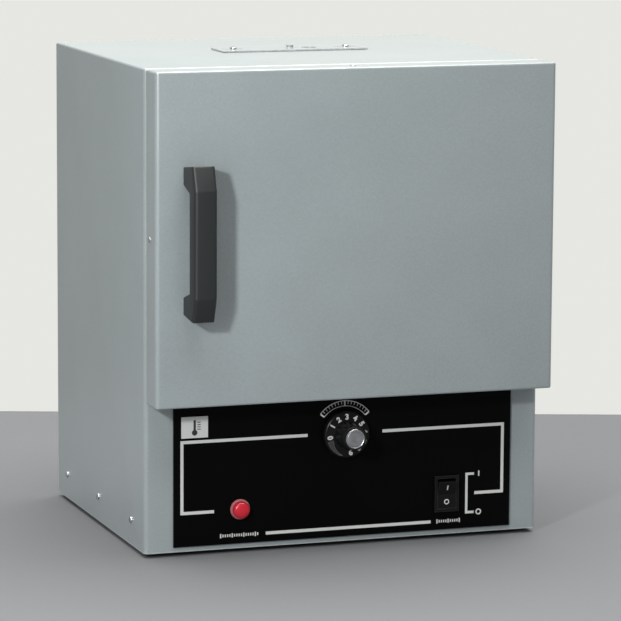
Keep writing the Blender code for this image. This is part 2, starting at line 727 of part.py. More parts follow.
def make_rear_cover():
    cover = folded_box("rear_cover", (-INNER_SIDE, REAR_FLANGE_FRONT, BASE),
                       (INNER_SIDE, BODY_DEPTH, INNER_TOP), ("front",), CASE_SHEET, CASE_BEND, "grey_paint")
    front, back = BODY_DEPTH - OVERRUN, BODY_DEPTH + OVERRUN
    openings = [around_inlet(INLET_BODY_WIDTH + 2 * GAP, INLET_BODY_HEIGHT + 2 * GAP, front, back)]
    for row in range(COOLING_ROWS):
        low = BASE + COOLING_RISE + (row - COOLING_ROWS / 2) * COOLING_ROW_PITCH
        for column in range(COOLING_COLUMNS):
            left = COOLING_SIDE + (column - COOLING_COLUMNS / 2) * COOLING_PITCH
            right, high = left + COOLING_SLOT_WIDTH, low + COOLING_SLOT_LENGTH
            openings.append(((left, front, low), (right, back, high)))
    cut(cover, boxes("rear_openings", openings))


def make_bay_plate():
    """The steel shelf under the insulation that roofs the electrics bay."""
    folded_box("bay_plate", (-INNER_SIDE, INNER_FRONT, BAY_PLATE_TOP - BAY_PLATE_FLANGE),
               (INNER_SIDE, REAR_LIMIT, BAY_PLATE_TOP), ("bottom",), CASE_SHEET, CASE_BEND, "zinc_steel")


def vent_hole(name, play):
    centre = (VENT_SIDE, VENT_BACK, (CHAMBER_TOP + TOP) / 2)
    radius = VENT_RADIUS + GAP + VENT_WALL + play
    return drums(name, [centre], radius, TOP - CHAMBER_TOP + OVERRUN, "up", sides=ROUND_SIDES)


def element_leg_sides():
    return -ELEMENT_LEG_SPACING / 2, ELEMENT_LEG_SPACING / 2


def rear_holes(name, play):
    """Cutters through the chamber's back for the element's legs and the capillary."""
    length = BODY_DEPTH - CHAMBER_BACK
    legs = [(side, CHAMBER_BACK, ELEMENT_HEIGHT) for side in element_leg_sides()]
    return (drums(name + "_legs", legs, ELEMENT_RADIUS + play, 2 * length, "back"),
            drums(name + "_capillary", [(CAPILLARY_SIDE, CHAMBER_BACK, BULB_HEIGHT)], CAPILLARY_RADIUS + play,
                  2 * length, "back"))


def liner_outer():
    """The liner's outer half width, underside, top and back."""
    return (HALF_CHAMBER + LINER_SHEET, CHAMBER_LOW - LINER_SHEET, CHAMBER_TOP + LINER_SHEET,
            CHAMBER_BACK + LINER_SHEET)


def make_chamber_liner(holes):
    """The chamber's four walls and the panel over their open back.

    The walls' flange lies behind the case's front, so their skin starts a sheet deeper.
    """
    half, low, top, back = liner_outer()
    walls = folded_box("chamber_liner", (-half, INNER_FRONT + LINER_SHEET, low), (half, CHAMBER_BACK - GAP, top),
                       ("front", "back"), LINER_SHEET, 0, "steel", flange=LINER_FLANGE)
    cut(walls, holes["vent"])
    panel = box("chamber_back", (-half, CHAMBER_BACK, low), (half, back, top), "steel")
    cut(panel, *holes["rear"])


def make_insulation(holes):
    half, low, top, back = liner_outer()
    front = INNER_FRONT + LINER_SHEET + GAP
    wrap = box("insulation_wrap", (-INNER_SIDE, front, BAY_PLATE_TOP + GAP),
               (INNER_SIDE, REAR_LIMIT, INNER_TOP), "mineral_wool")
    round_edges(wrap, INSULATION_CORNER, SOFT_SEGMENTS)
    core = box("insulation_core", (-half - GAP, front - OVERRUN, low - GAP), (half + GAP, back + GAP, top + GAP))
    cut(wrap, core, holes["vent"], holes["slide_screws"], holes["catch"], *holes["rear"])


def make_vent_tube():
    inner, low, top = VENT_RADIUS + GAP, CHAMBER_TOP - VENT_INTO_CHAMBER, INNER_TOP
    outer = inner + VENT_WALL
    turned("vent_tube", [(outer, top), (outer, low), (inner, low), (inner, top)], (VENT_SIDE, VENT_BACK, 0),
           "up", "steel", ring=True)


def make_vent_slide():
    low, high = TOP + GAP, TOP + GAP + SLIDE_SHEET
    half_width = SLIDE_WIDTH / 2
    front, back = VENT_BACK - SLIDE_DEPTH / 2, VENT_BACK + SLIDE_DEPTH / 2
    slide = box("vent_slide", (-half_width, front, low), (half_width, back, high), "grey_paint")
    button = drums("slide_button", [(0, VENT_BACK, high)], SLIDE_BUTTON_RADIUS, 2 * SLIDE_BUTTON_HEIGHT, "up")
    under_button = box("slide_button_trim", (-half_width, front, low - OVERRUN), (half_width, back, low))
    slot_half_width = SCREW_RADIUS + SLIDE_SLOT_PLAY
    slot_half_length = slot_half_width + VENT_TRAVEL
    slots = [((side - slot_half_length, VENT_BACK - slot_half_width, low - OVERRUN),
              (side + slot_half_length, VENT_BACK + slot_half_width, high + OVERRUN))
             for side in (-SLIDE_SCREW_SIDE, SLIDE_SCREW_SIDE)]
    hole = drums("slide_hole", [(VENT_SIDE - VENT_TRAVEL, VENT_BACK, low)], VENT_RADIUS, 2 * OVERRUN, "up",
                 sides=ROUND_SIDES)
    fuse(slide, button)
    cut(slide, under_button, boxes("slide_slots", slots), hole)
    profile = screw_profile(SCREW_HEAD_RADIUS, SCREW_HEAD_HEIGHT, SCREW_RADIUS, SCREW_LENGTH)
    for name, side in (("slide_screw_left", -SLIDE_SCREW_SIDE), ("slide_screw_right", SLIDE_SCREW_SIDE)):
        turned(name, profile, (side, VENT_BACK, high), "up", "steel", sides=SMALL_SIDES)


def element_route():
    """From one terminal behind the chamber, through its back and round under the floor plate."""
    left, right = element_leg_sides()
    terminal = REAR_LIMIT + ELEMENT_TERMINAL
    half = HALF_CHAMBER - ELEMENT_SIDE_GAP
    inner = ELEMENT_LOOP / 2
    inner_back = ELEMENT_BACK - ELEMENT_LOOP_STEP
    flat = [(left, terminal), (left, ELEMENT_BACK), (-half, ELEMENT_BACK), (-half, ELEMENT_FRONT),
            (-inner, ELEMENT_FRONT), (-inner, inner_back), (inner, inner_back), (inner, ELEMENT_FRONT),
            (half, ELEMENT_FRONT), (half, ELEMENT_BACK), (right, ELEMENT_BACK), (right, terminal)]
    return rounded_route([(side, back, ELEMENT_HEIGHT) for side, back in flat], ELEMENT_BEND)


def make_heater():
    tube("heating_element", element_route(), ELEMENT_RADIUS, "element_sheath")
    half_width, half_height = ELEMENT_PLATE_WIDTH / 2, ELEMENT_PLATE_HEIGHT / 2
    back = CHAMBER_BACK - GAP
    plate = box("element_flange", (-half_width, back - ELEMENT_PLATE_SHEET, ELEMENT_HEIGHT - half_height),
                (half_width, back, ELEMENT_HEIGHT + half_height), "brass")
    legs = [(side, back, ELEMENT_HEIGHT) for side in element_leg_sides()]
    cut(plate, drums("element_flange_holes", legs, ELEMENT_RADIUS + GAP, 2 * OVERRUN, "back"))


def make_chamber_floor():
    """The slotted plate that stands over the element on its turned-down sides."""
    half = HALF_CHAMBER - FLOOR_SIDE_PLAY
    front, back = INNER_FRONT + FLOOR_END_PLAY, CHAMBER_BACK - FLOOR_END_PLAY
    top = CHAMBER_LOW + FLOOR_RISE
    plate = folded_box("chamber_floor", (-half, front, CHAMBER_LOW + GAP), (half, back, top),
                       ("bottom", "front", "back"), LINER_SHEET, FLOOR_BEND, "steel")
    across = count_in(2 * (half - FLOOR_SLOT_MARGIN), FLOOR_SLOT_LENGTH, FLOOR_SLOT_PITCH_X)
    deep = count_in(back - front - 2 * FLOOR_SLOT_MARGIN, FLOOR_SLOT_WIDTH, FLOOR_SLOT_PITCH_Y)
    half_length, half_width = FLOOR_SLOT_LENGTH / 2, FLOOR_SLOT_WIDTH / 2
    slots = []
    for side in spread(across, FLOOR_SLOT_PITCH_X):
        for step in spread(deep, FLOOR_SLOT_PITCH_Y):
            place = (front + back) / 2 + step
            slots.append(((side - half_length, place - half_width, top - OVERRUN),
                          (side + half_length, place + half_width, top + OVERRUN)))
    cut(plate, boxes("floor_slots", slots))


def ledge_tops():
    """The heights of the ledges that shelves rest on."""
    first = CHAMBER_LOW + LEDGE_FIRST
    return [first + i * LEDGE_PITCH for i in range(count_in(RUNNER_TOP - first, 0, LEDGE_PITCH))]


def make_runners():
    front, back = INNER_FRONT + RUNNER_END_PLAY, CHAMBER_BACK - RUNNER_REAR_GAP
    for name, sign in (("shelf_runner_left", -1), ("shelf_runner_right", 1)):
        left, right = sorted((sign * RUNNER_FACE, sign * (RUNNER_FACE + RUNNER_SHEET)))
        runner = box(name, (left, front, CHAMBER_LOW + RUNNER_LOW), (right, back, RUNNER_TOP), "steel")
        left, right = sorted((sign * (RUNNER_FACE - LEDGE_WIDTH), sign * (RUNNER_FACE + RUNNER_SHEET / 2)))
        ledges = [((left, front + RUNNER_SHEET, top - RUNNER_SHEET), (right, back - RUNNER_SHEET, top))
                  for top in ledge_tops()]
        fuse(runner, boxes(name + "_ledges", ledges))


def make_shelf(name, ledge):
    half = RUNNER_FACE - SHELF_SIDE_PLAY
    low = ledge + GAP
    shelf = folded_box(name, (-half, SHELF_REST, low), (half, SHELF_BACK, low + SHELF_LIP),
                       ("top", "left", "right"), SHELF_SHEET, SHELF_BEND, "steel")
    count = count_in(2 * (half - SHELF_SLOT_MARGIN), SHELF_SLOT_WIDTH, SHELF_SLOT_PITCH)
    front, back = SHELF_REST + SHELF_SLOT_MARGIN, SHELF_BACK - SHELF_SLOT_MARGIN
    half_width = SHELF_SLOT_WIDTH / 2
    slots = [((side - half_width, front, low - OVERRUN), (side + half_width, back, low + OVERRUN))
             for side in spread(count, SHELF_SLOT_PITCH)]
    cut(shelf, boxes(name + "_slots", slots))


def handle_screw_ups():
    return DOOR_MIDDLE - HANDLE_SCREW_RISE, DOOR_MIDDLE + HANDLE_SCREW_RISE


def handle_screw_cutter(name, radius, start, end):
    centres = [(HANDLE_SIDE, (start + end) / 2, up) for up in handle_screw_ups()]
    return drums(name, centres, radius, end - start, "back", carrier=DOOR_AXIS)


def make_door():
    outer = folded_box("door_outer_pan", (-SIDE, DOOR_FRONT, DOOR_LOW), (SIDE, DOOR_REAR, TOP), ("back",),
                       DOOR_SHEET, DOOR_BEND, "grey_paint", DOOR_AXIS)
    front, back = DOOR_FRONT - OVERRUN, DOOR_FRONT + OVERRUN
    cut(outer, handle_screw_cutter("handle_screw_holes", HANDLE_SCREW_RADIUS + GAP, front, back))
    nest = DOOR_SHEET + GAP
    half, low, top = SIDE - nest, DOOR_LOW + nest, TOP - nest
    folded_box("door_inner_pan", (-half, DOOR_LINER_FACE - DOOR_LINER_FLANGE, low),
               (half, DOOR_LINER_FACE, top), ("front",), DOOR_LINER_SHEET, DOOR_BEND, "steel", DOOR_AXIS)
    inside = DOOR_LINER_SHEET + GAP
    slab = box("door_insulation", (-half + inside, DOOR_FRONT + nest, low + inside),
               (half - inside, DOOR_LINER_FACE - inside, top - inside), "mineral_wool", DOOR_AXIS)
    round_edges(slab, INSULATION_CORNER, SOFT_SEGMENTS)
    back = DOOR_FRONT + DOOR_SHEET + HANDLE_SCREW_HEAD_HEIGHT + 2 * GAP
    cut(slab, handle_screw_cutter("handle_screw_pockets", HANDLE_SCREW_HEAD_RADIUS + GAP, DOOR_FRONT, back))


def make_door_seal():
    inner_half = HALF_CHAMBER + SEAL_INSET
    outer_half = inner_half + SEAL_WIDTH
    low, high = CHAMBER_LOW - SEAL_INSET, CHAMBER_TOP + SEAL_INSET
    front, back = DOOR_LINER_FACE + GAP, -GAP
    seal = box("door_seal", (-outer_half, front, low - SEAL_WIDTH), (outer_half, back, high + SEAL_WIDTH),
               "silicone", DOOR_AXIS)
    cut(seal, box("seal_middle", (-inner_half, front - OVERRUN, low), (inner_half, back + OVERRUN, high),
                  carrier=DOOR_AXIS))
    round_edges(seal, SEAL_ROUNDING, SOFT_SEGMENTS)


def make_handle():
    half_outline = [(0, HANDLE_FOOT_OUTER), (HANDLE_SHOULDER, HANDLE_CORNER),
                    (HANDLE_REACH, HANDLE_FACE_HALF)]
    inner_outline = [(HANDLE_GRIP_BACK, HANDLE_BOW_HALF), (0, HANDLE_FOOT_INNER)]
    outline = (half_outline + [(out, -up) for out, up in reversed(half_outline)]
               + [(out, -up) for out, up in reversed(inner_outline)] + inner_outline)
    handle = side_outline("door_handle", outline, HANDLE_WIDTH, (HANDLE_SIDE, DOOR_FRONT - GAP, DOOR_MIDDLE),
                          "black_plastic", DOOR_AXIS)
    round_edges(handle, HANDLE_EDGE, SOFT_SEGMENTS)
    bottom, mouth = DOOR_FRONT - HANDLE_SCREW_BITE - GAP, DOOR_FRONT + OVERRUN
    cut(handle, handle_screw_cutter("handle_bores", HANDLE_SCREW_RADIUS + GAP, bottom, mouth))
    profile = screw_profile(HANDLE_SCREW_HEAD_RADIUS, HANDLE_SCREW_HEAD_HEIGHT, HANDLE_SCREW_RADIUS,
                            HANDLE_SCREW_BITE + DOOR_SHEET)
    for name, up in zip(("handle_screw_lower", "handle_screw_upper"), handle_screw_ups()):
        turned(name, profile, (HANDLE_SIDE, DOOR_FRONT + DOOR_SHEET, up), "back", "steel", DOOR_AXIS,
               SMALL_SIDES)


def make_hinge(name, low):
    """Two leaves on the door's and the case's side faces, round one pin that stays with the case."""
    high = low + HINGE_HEIGHT
    centre_up = (low + high) / 2
    face = SIDE + GAP
    half_middle = HINGE_HEIGHT * HINGE_KNUCKLE_SHARE / 2
    sweep = HINGE_KNUCKLE_RADIUS + HINGE_KNUCKLE_PLAY
    outside = HINGE_SIDE + HINGE_KNUCKLE_RADIUS + OVERRUN
    centre = (HINGE_SIDE, HINGE_BACK, centre_up)
    bore = drums(name + "_bore", [centre], HINGE_PIN_RADIUS + GAP, HINGE_HEIGHT + 2 * OVERRUN, "up")

    case_leaf = box(name + "_case_leaf", (face, HINGE_BACK, low),
                    (face + HINGE_LEAF, HINGE_BACK + HINGE_LEAF_WIDTH, high), "steel")
    barrel = drums(name + "_case_barrel", [centre], HINGE_KNUCKLE_RADIUS, HINGE_HEIGHT, "up")
    notch = box(name + "_case_notch", (face - OVERRUN, HINGE_BACK - sweep - OVERRUN, centre_up - half_middle),
                (outside, HINGE_BACK + sweep, centre_up + half_middle))
    fuse(case_leaf, barrel)
    cut(case_leaf, notch, bore)

    door_leaf = box(name + "_door_leaf", (face, HINGE_BACK - HINGE_LEAF_WIDTH, low),
                    (face + HINGE_LEAF, HINGE_BACK, high), "steel", DOOR_AXIS)
    barrel = drums(name + "_door_barrel", [centre], HINGE_KNUCKLE_RADIUS, HINGE_HEIGHT, "up",
                   carrier=DOOR_AXIS)
    ends = [((face - OVERRUN, HINGE_BACK - sweep, start), (outside, HINGE_BACK + sweep + OVERRUN, end))
            for start, end in ((low - OVERRUN, centre_up - half_middle + GAP),
                               (centre_up + half_middle - GAP, high + OVERRUN))]
    fuse(door_leaf, barrel)
    cut(door_leaf, boxes(name + "_door_notches", ends, carrier=DOOR_AXIS), bore)

    profile = screw_profile(HINGE_PIN_HEAD_RADIUS, HINGE_PIN_HEAD_HEIGHT, HINGE_PIN_RADIUS, HINGE_HEIGHT)
    turned(name + "_pin", profile, (HINGE_SIDE, HINGE_BACK, high), "up", "steel", sides=SMALL_SIDES)


def make_catch():
    left, half = catch_side(), CATCH_HEIGHT / 2
    box("catch_magnet", (left, -CATCH_STAND, DOOR_MIDDLE - half),
        (left + CATCH_WIDTH, CATCH_DEPTH, DOOR_MIDDLE + half), "magnet")
    box("catch_strike", (left, DOOR_LINER_FACE + GAP, DOOR_MIDDLE - half),
        (left + CATCH_WIDTH, -CATCH_STAND - CATCH_AIR, DOOR_MIDDLE + half), "zinc_steel", DOOR_AXIS)


def make_control_panel():
    half = SIDE - PANEL_SIDE_GAP
    panel = box("control_panel", (-half, PANEL_FACE, BASE + PANEL_LOW),
                (half, PANEL_BACK, DOOR_LOW - PANEL_DOOR_PLAY), "black_panel")
    neck = drums("dial_hole", [(0, PANEL_FACE, DIAL_HEIGHT)], THERMOSTAT_NECK_RADIUS + GAP, 2 * OVERRUN,
                 "back")
    lamp = drums("lamp_hole", [(-LAMP_SIDE, PANEL_FACE, BASE + LAMP_RISE)], LAMP_BARREL_RADIUS + GAP,
                 2 * OVERRUN, "back")
    half_width, half_length = SWITCH_BODY_WIDTH / 2 + GAP, SWITCH_BODY_LENGTH / 2 + GAP
    switch = box("switch_hole", (SWITCH_SIDE - half_width, PANEL_FACE - OVERRUN, SWITCH_HEIGHT - half_length),
                 (SWITCH_SIDE + half_width, PANEL_BACK + OVERRUN, SWITCH_HEIGHT + half_length))
    cut(panel, neck, lamp, switch)


def make_thermostat():
    half_width, half_height = THERMOSTAT_WIDTH / 2, THERMOSTAT_HEIGHT / 2
    body = box("thermostat_body", (-half_width, 0, DIAL_HEIGHT - half_height),
               (half_width, THERMOSTAT_DEPTH, DIAL_HEIGHT + half_height), "zinc_steel")
    neck_front = PANEL_FACE - THERMOSTAT_NECK_STAND
    neck_back = THERMOSTAT_BORE_DEPTH
    neck = drums("thermostat_neck", [(0, (neck_front + neck_back) / 2, DIAL_HEIGHT)], THERMOSTAT_NECK_RADIUS,
                 neck_back - neck_front, "back")
    bore_front = neck_front - OVERRUN
    bore = drums("thermostat_bore", [(0, (bore_front + neck_back) / 2, DIAL_HEIGHT)], SHAFT_RADIUS + GAP,
                 neck_back - bore_front, "back")
    fuse(body, neck)
    cut(body, bore)


def make_dial():
    """The shaft, the skirted knob on it and the bright cap in the knob's face."""
    shaft_back = THERMOSTAT_BORE_DEPTH - GAP - PANEL_FACE
    profile = [(0, SHAFT_STAND), (SHAFT_RADIUS, SHAFT_STAND), (SHAFT_RADIUS, -shaft_back), (0, -shaft_back)]
    face = (0, PANEL_FACE, DIAL_HEIGHT)
    turned("dial_shaft", profile, face, "front", "steel", DIAL_AXIS, SMALL_SIDES)
    bore = SHAFT_RADIUS + GAP
    recess = HUB_HEIGHT - CAP_RECESS
    profile = [(0, recess), (CAP_RADIUS + GAP, recess), (CAP_RADIUS + GAP, HUB_HEIGHT),
               (HUB_TOP_RADIUS - HUB_RIM / 2, HUB_HEIGHT), (HUB_TOP_RADIUS, HUB_HEIGHT - HUB_RIM),
               (HUB_BASE_RADIUS, SKIRT_HEIGHT + HUB_RIM), (HUB_BASE_RADIUS + HUB_RIM, SKIRT_HEIGHT),
               (SKIRT_RADIUS - SKIRT_BEVEL, SKIRT_HEIGHT), (SKIRT_RADIUS, SKIRT_HEIGHT - SKIRT_BEVEL),
               (SKIRT_RADIUS, KNOB_AIR), (bore, KNOB_AIR), (bore, SHAFT_STAND + GAP), (0, SHAFT_STAND + GAP)]
    turned("dial_knob", profile, face, "front", "black_plastic", DIAL_AXIS, ROUND_SIDES * 2)
    low = recess + GAP
    profile = [(0, low + CAP_HEIGHT), (CAP_RADIUS - CAP_HEIGHT / 2, low + CAP_HEIGHT),
               (CAP_RADIUS, low + CAP_HEIGHT / 2), (CAP_RADIUS, low), (0, low)]
    turned("dial_cap", profile, face, "front", "silver_cap", DIAL_AXIS, ROUND_SIDES * 2)


def make_sensor():
    """The bulb on the chamber's back wall, its clip, and the capillary from the thermostat."""
    end = CAPILLARY_SIDE - 2 * CAPILLARY_BEND
    centre = end - GAP - BULB_LENGTH / 2
    drums("sensor_bulb", [(centre, BULB_BACK, BULB_HEIGHT)], BULB_RADIUS, BULB_LENGTH, "right", "copper")
    clip = box("sensor_clip", (centre - CLIP_WIDTH / 2, BULB_BACK - BULB_RADIUS - CLIP_WALL,
                               BULB_HEIGHT - CLIP_HEIGHT / 2),
               (centre + CLIP_WIDTH / 2, CHAMBER_BACK - GAP, BULB_HEIGHT + CLIP_HEIGHT / 2), "steel")
    cut(clip, drums("sensor_clip_hole", [(centre, BULB_BACK, BULB_HEIGHT)], BULB_RADIUS + GAP,
                    CLIP_WIDTH + OVERRUN, "right"))
    up = DIAL_HEIGHT + CAPILLARY_RISE
    start, turn = THERMOSTAT_DEPTH + CAPILLARY_START, THERMOSTAT_DEPTH + CAPILLARY_TURN
    route = [(0, THERMOSTAT_DEPTH + GAP, up), (0, start, up), (CAPILLARY_SIDE, turn, up),
             (CAPILLARY_SIDE, REAR_AIR, up),
             (CAPILLARY_SIDE, REAR_AIR, BULB_HEIGHT), (CAPILLARY_SIDE, BULB_BACK, BULB_HEIGHT),
             (end, BULB_BACK, BULB_HEIGHT)]
    tube("capillary_tube", rounded_route(route, CAPILLARY_BEND / 2), CAPILLARY_RADIUS, "copper")


def make_pilot_lamp():
    face = (-LAMP_SIDE, PANEL_FACE, BASE + LAMP_RISE)
    rim_top = GAP + LAMP_RIM_HEIGHT
    edge = LAMP_RIM_HEIGHT / 4
    profile = [(0, rim_top), (LAMP_RIM_RADIUS - edge, rim_top), (LAMP_RIM_RADIUS, rim_top - edge),
               (LAMP_RIM_RADIUS, GAP), (LAMP_BARREL_RADIUS, GAP), (LAMP_BARREL_RADIUS, -LAMP_BARREL_LENGTH),
               (0, -LAMP_BARREL_LENGTH)]
    turned("pilot_body", profile, face, "front", "lamp_rim")
    low = rim_top + GAP
    profile = [(LENS_RADIUS * out, low + LENS_HEIGHT * up) for out, up in LENS_SHAPE_SHARES]
    turned("pilot_lens", profile, face, "front", "red_lens")


def make_switch():
    half_width, half_length = SWITCH_BODY_WIDTH / 2, SWITCH_BODY_LENGTH / 2
    rim_half_width, rim_half_length = SWITCH_RIM_WIDTH / 2, SWITCH_RIM_LENGTH / 2
    rim_front = PANEL_FACE - GAP - SWITCH_RIM_HEIGHT
    housing = box("switch_housing", (SWITCH_SIDE - half_width, rim_front + SWITCH_RIM_HEIGHT / 2,
                                     SWITCH_HEIGHT - half_length),
                  (SWITCH_SIDE + half_width, PANEL_FACE + SWITCH_BODY_DEPTH, SWITCH_HEIGHT + half_length),
                  "black_plastic")
    rim = box("switch_rim", (SWITCH_SIDE - rim_half_width, rim_front, SWITCH_HEIGHT - rim_half_length),
              (SWITCH_SIDE + rim_half_width, PANEL_FACE - GAP, SWITCH_HEIGHT + rim_half_length))
    pocket_half_width, pocket_half_length = SWITCH_POCKET_WIDTH / 2, SWITCH_POCKET_LENGTH / 2
    pocket = box("switch_pocket", (SWITCH_SIDE - pocket_half_width, rim_front - OVERRUN,
                                   SWITCH_HEIGHT - pocket_half_length),
                 (SWITCH_SIDE + pocket_half_width, PANEL_FACE + SWITCH_POCKET_DEPTH,
                  SWITCH_HEIGHT + pocket_half_length))
    pivot = (SWITCH_SIDE, SWITCH_PIVOT, SWITCH_HEIGHT)
    width = SWITCH_POCKET_WIDTH - 2 * GAP
    bearing = drums("switch_bearing", [pivot], TRUNNION_RADIUS + GAP, width + 2 * (TRUNNION_LENGTH + GAP),
                    "right")
    fuse(housing, rim)
    cut(housing, pocket, bearing)

    ends = [(ROCKER_HALF_LENGTH * along, (ROCKER_CREST if up > 0 else ROCKER_KEEL) * up)
            for along, up in ROCKER_SECTION_SHARES]
    outline = [(up, along) for along, up in ends] + [(ROCKER_DIP, 0)]
    button = side_outline("rocker_button", outline, width, pivot, "black_plastic", ROCKER_AXIS)
    trunnion = drums("rocker_trunnion", [pivot], TRUNNION_RADIUS, width + 2 * TRUNNION_LENGTH, "right",
                     carrier=ROCKER_AXIS)
    fuse(button, trunnion)
    ROCKER_AXIS.rotation_euler = (ROCKER_TILT, 0, 0)


def inlet_pin_places():
    """Each pin's name, its distance from the inlet's middle and its rise."""
    return (("inlet_pin_left", -INLET_PIN_SPACING, 0), ("inlet_pin_right", INLET_PIN_SPACING, 0),
            ("inlet_pin_earth", 0, INLET_EARTH_RISE))


def around_inlet(width, height, front, back, side=0, rise=0):
    """A box's corners, centred on a point of the inlet."""
    across, up = side - INLET_SIDE, INLET_HEIGHT + rise
    return (across - width / 2, front, up - height / 2), (across + width / 2, back, up + height / 2)


def make_inlet():
    socket = box("inlet_socket", *around_inlet(INLET_BODY_WIDTH, INLET_BODY_HEIGHT, INLET_INSIDE,
                                               INLET_FACE - INLET_FLANGE_SHEET / 2), "black_plastic")
    flange = box("inlet_flange", *around_inlet(INLET_FLANGE_WIDTH, INLET_FLANGE_HEIGHT, BODY_DEPTH + GAP,
                                               INLET_FACE))
    recess = box("inlet_recess", *around_inlet(INLET_RECESS_WIDTH, INLET_RECESS_HEIGHT, INLET_FLOOR,
                                               INLET_FACE + OVERRUN))
    slots = [around_inlet(INLET_PIN_WIDTH + 2 * GAP, INLET_PIN_HEIGHT + 2 * GAP, INLET_INSIDE - OVERRUN,
                          INLET_FLOOR + OVERRUN, side, rise) for _, side, rise in inlet_pin_places()]
    fuse(socket, flange)
    cut(socket, recess, boxes("inlet_pin_slots", slots))
    for name, side, rise in inlet_pin_places():
        box(name, *around_inlet(INLET_PIN_WIDTH, INLET_PIN_HEIGHT, INLET_INSIDE - INLET_TAB,
                                INLET_FACE - INLET_PIN_SETBACK, side, rise), "brass")


def make_element_lead():
    """The lead from the thermostat, up behind the insulation to the element's first terminal."""
    side = element_leg_sides()[0]
    up = DIAL_HEIGHT - ELEMENT_LEAD_DROP
    start, turn = THERMOSTAT_DEPTH + ELEMENT_LEAD_START, THERMOSTAT_DEPTH + ELEMENT_LEAD_TURN
    back = REAR_AIR - LEAD_RADIUS
    end = ELEMENT_HEIGHT - ELEMENT_RADIUS - GAP
    route = [(0, THERMOSTAT_DEPTH + GAP, up), (0, start, up), (side, turn, up), (side, back, up),
             (side, back, end)]
    tube("element_lead", rounded_route(route, LEAD_BEND), LEAD_RADIUS, "lead_sleeve")


def build():
    holes = {"catch": catch_slot(), "side_screws": side_screw_holes(), "slide_screws": slide_screw_holes(),
             "vent": vent_hole("vent_way", GAP), "rear": rear_holes("rear_way", GAP)}
    make_outer_case(holes)
    make_base_pan(holes)
    make_feet()
    make_side_screws()
    make_rear_cover()
    make_bay_plate()
    make_chamber_liner(holes)
    make_insulation(holes)
    make_vent_tube()
    make_vent_slide()
    make_heater()
    make_chamber_floor()
    make_runners()
    make_shelf("shelf_lower", ledge_tops()[0])
    make_shelf("shelf_upper", ledge_tops()[-UPPER_SHELF_DROP])
    make_door()
    make_door_seal()
    make_handle()
    make_hinge("hinge_lower", DOOR_LOW + HINGE_INSET)
    make_hinge("hinge_upper", TOP - HINGE_INSET - HINGE_HEIGHT)
    make_catch()
    make_control_panel()
    make_thermostat()
    make_dial()
    make_sensor()
    make_pilot_lamp()
    make_switch()
    make_inlet()
    make_element_lead()
    bpy.context.view_layer.update()


build()
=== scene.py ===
"""The drying oven dressed for the camera: finishes, printed panel, dial, lamp, switch and fasteners."""

import math

import bmesh
import bpy
from mathutils import Matrix, Vector


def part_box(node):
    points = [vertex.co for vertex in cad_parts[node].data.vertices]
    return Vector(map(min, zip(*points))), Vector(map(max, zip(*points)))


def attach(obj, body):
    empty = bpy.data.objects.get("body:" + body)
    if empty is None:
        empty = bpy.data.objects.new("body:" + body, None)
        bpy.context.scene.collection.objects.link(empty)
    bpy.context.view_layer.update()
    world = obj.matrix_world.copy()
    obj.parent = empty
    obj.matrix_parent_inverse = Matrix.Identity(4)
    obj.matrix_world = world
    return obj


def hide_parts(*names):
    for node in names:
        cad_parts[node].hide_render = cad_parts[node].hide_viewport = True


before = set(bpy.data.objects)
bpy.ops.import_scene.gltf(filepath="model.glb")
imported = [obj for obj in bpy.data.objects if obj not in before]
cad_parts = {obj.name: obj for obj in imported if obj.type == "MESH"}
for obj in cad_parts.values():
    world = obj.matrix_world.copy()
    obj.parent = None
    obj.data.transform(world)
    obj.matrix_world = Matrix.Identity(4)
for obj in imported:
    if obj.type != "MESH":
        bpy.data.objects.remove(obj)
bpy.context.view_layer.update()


def box_of(name):
    low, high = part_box(name)
    return Vector(low), Vector(high)


def middle_of(name):
    low, high = box_of(name)
    return (low + high) / 2


MM = 0.001
SMOOTH_ANGLE = math.radians(35)
PRINT_DEPTH = 0.06 * MM
PRINT_LIFT = 0.02 * MM
TURN_STEPS = 96
SCREW_STEPS = 32

# The photograph's camera, from a fit to the cabinet's and door's corners
CAMERA_PLACE = (-1.0560, -3.0649, 0.6979)
CAMERA_YAW = math.radians(19.070)
CAMERA_PITCH = math.radians(8.876)
CAMERA_ROLL = math.radians(0.322)
CAMERA_LENS = 212.6
CAMERA_SENSOR = 36.0
CAMERA_REACH = 60.0

# The bench top, the wall behind it and the light
FLOOR_EDGE_DISTANCE = 3.775
FLOOR_DEPTH = 9.0
FLOOR_REACH = 6.0
FLOOR_COLOUR = (0.122, 0.126, 0.134)
WALL_LEVEL = 0.80
WALL_COLOUR = (0.99, 1.0, 0.95, 1)
WALL_TURN = math.radians(38)
WALL_FADE_START, WALL_FADE_END = 0.6, 0.85
GLOSS_LEVEL = 0.25
AMBIENT_LEVEL = 0.13
KEY_TARGET = Vector((-0.14, -0.16, 0.25))
KEY_TURN = math.radians(41)
KEY_RISE = math.radians(20)
KEY_DISTANCE = 1.6
KEY_SIZE = 0.14
KEY_POWER = 16.2
EDGE_TURN = math.radians(40)
EDGE_DISTANCE = 1.5
EDGE_WIDE = 0.16
EDGE_HEIGHT = 0.68
EDGE_TALL = 1.0
EDGE_POWER = 6.0
TOP_TOWARDS = (0.08, 0.02, 1.0)
TOP_COLOUR = (1.0, 0.985, 0.955)
TOP_STRENGTH = 6.8
TOP_SPREAD = math.radians(66)

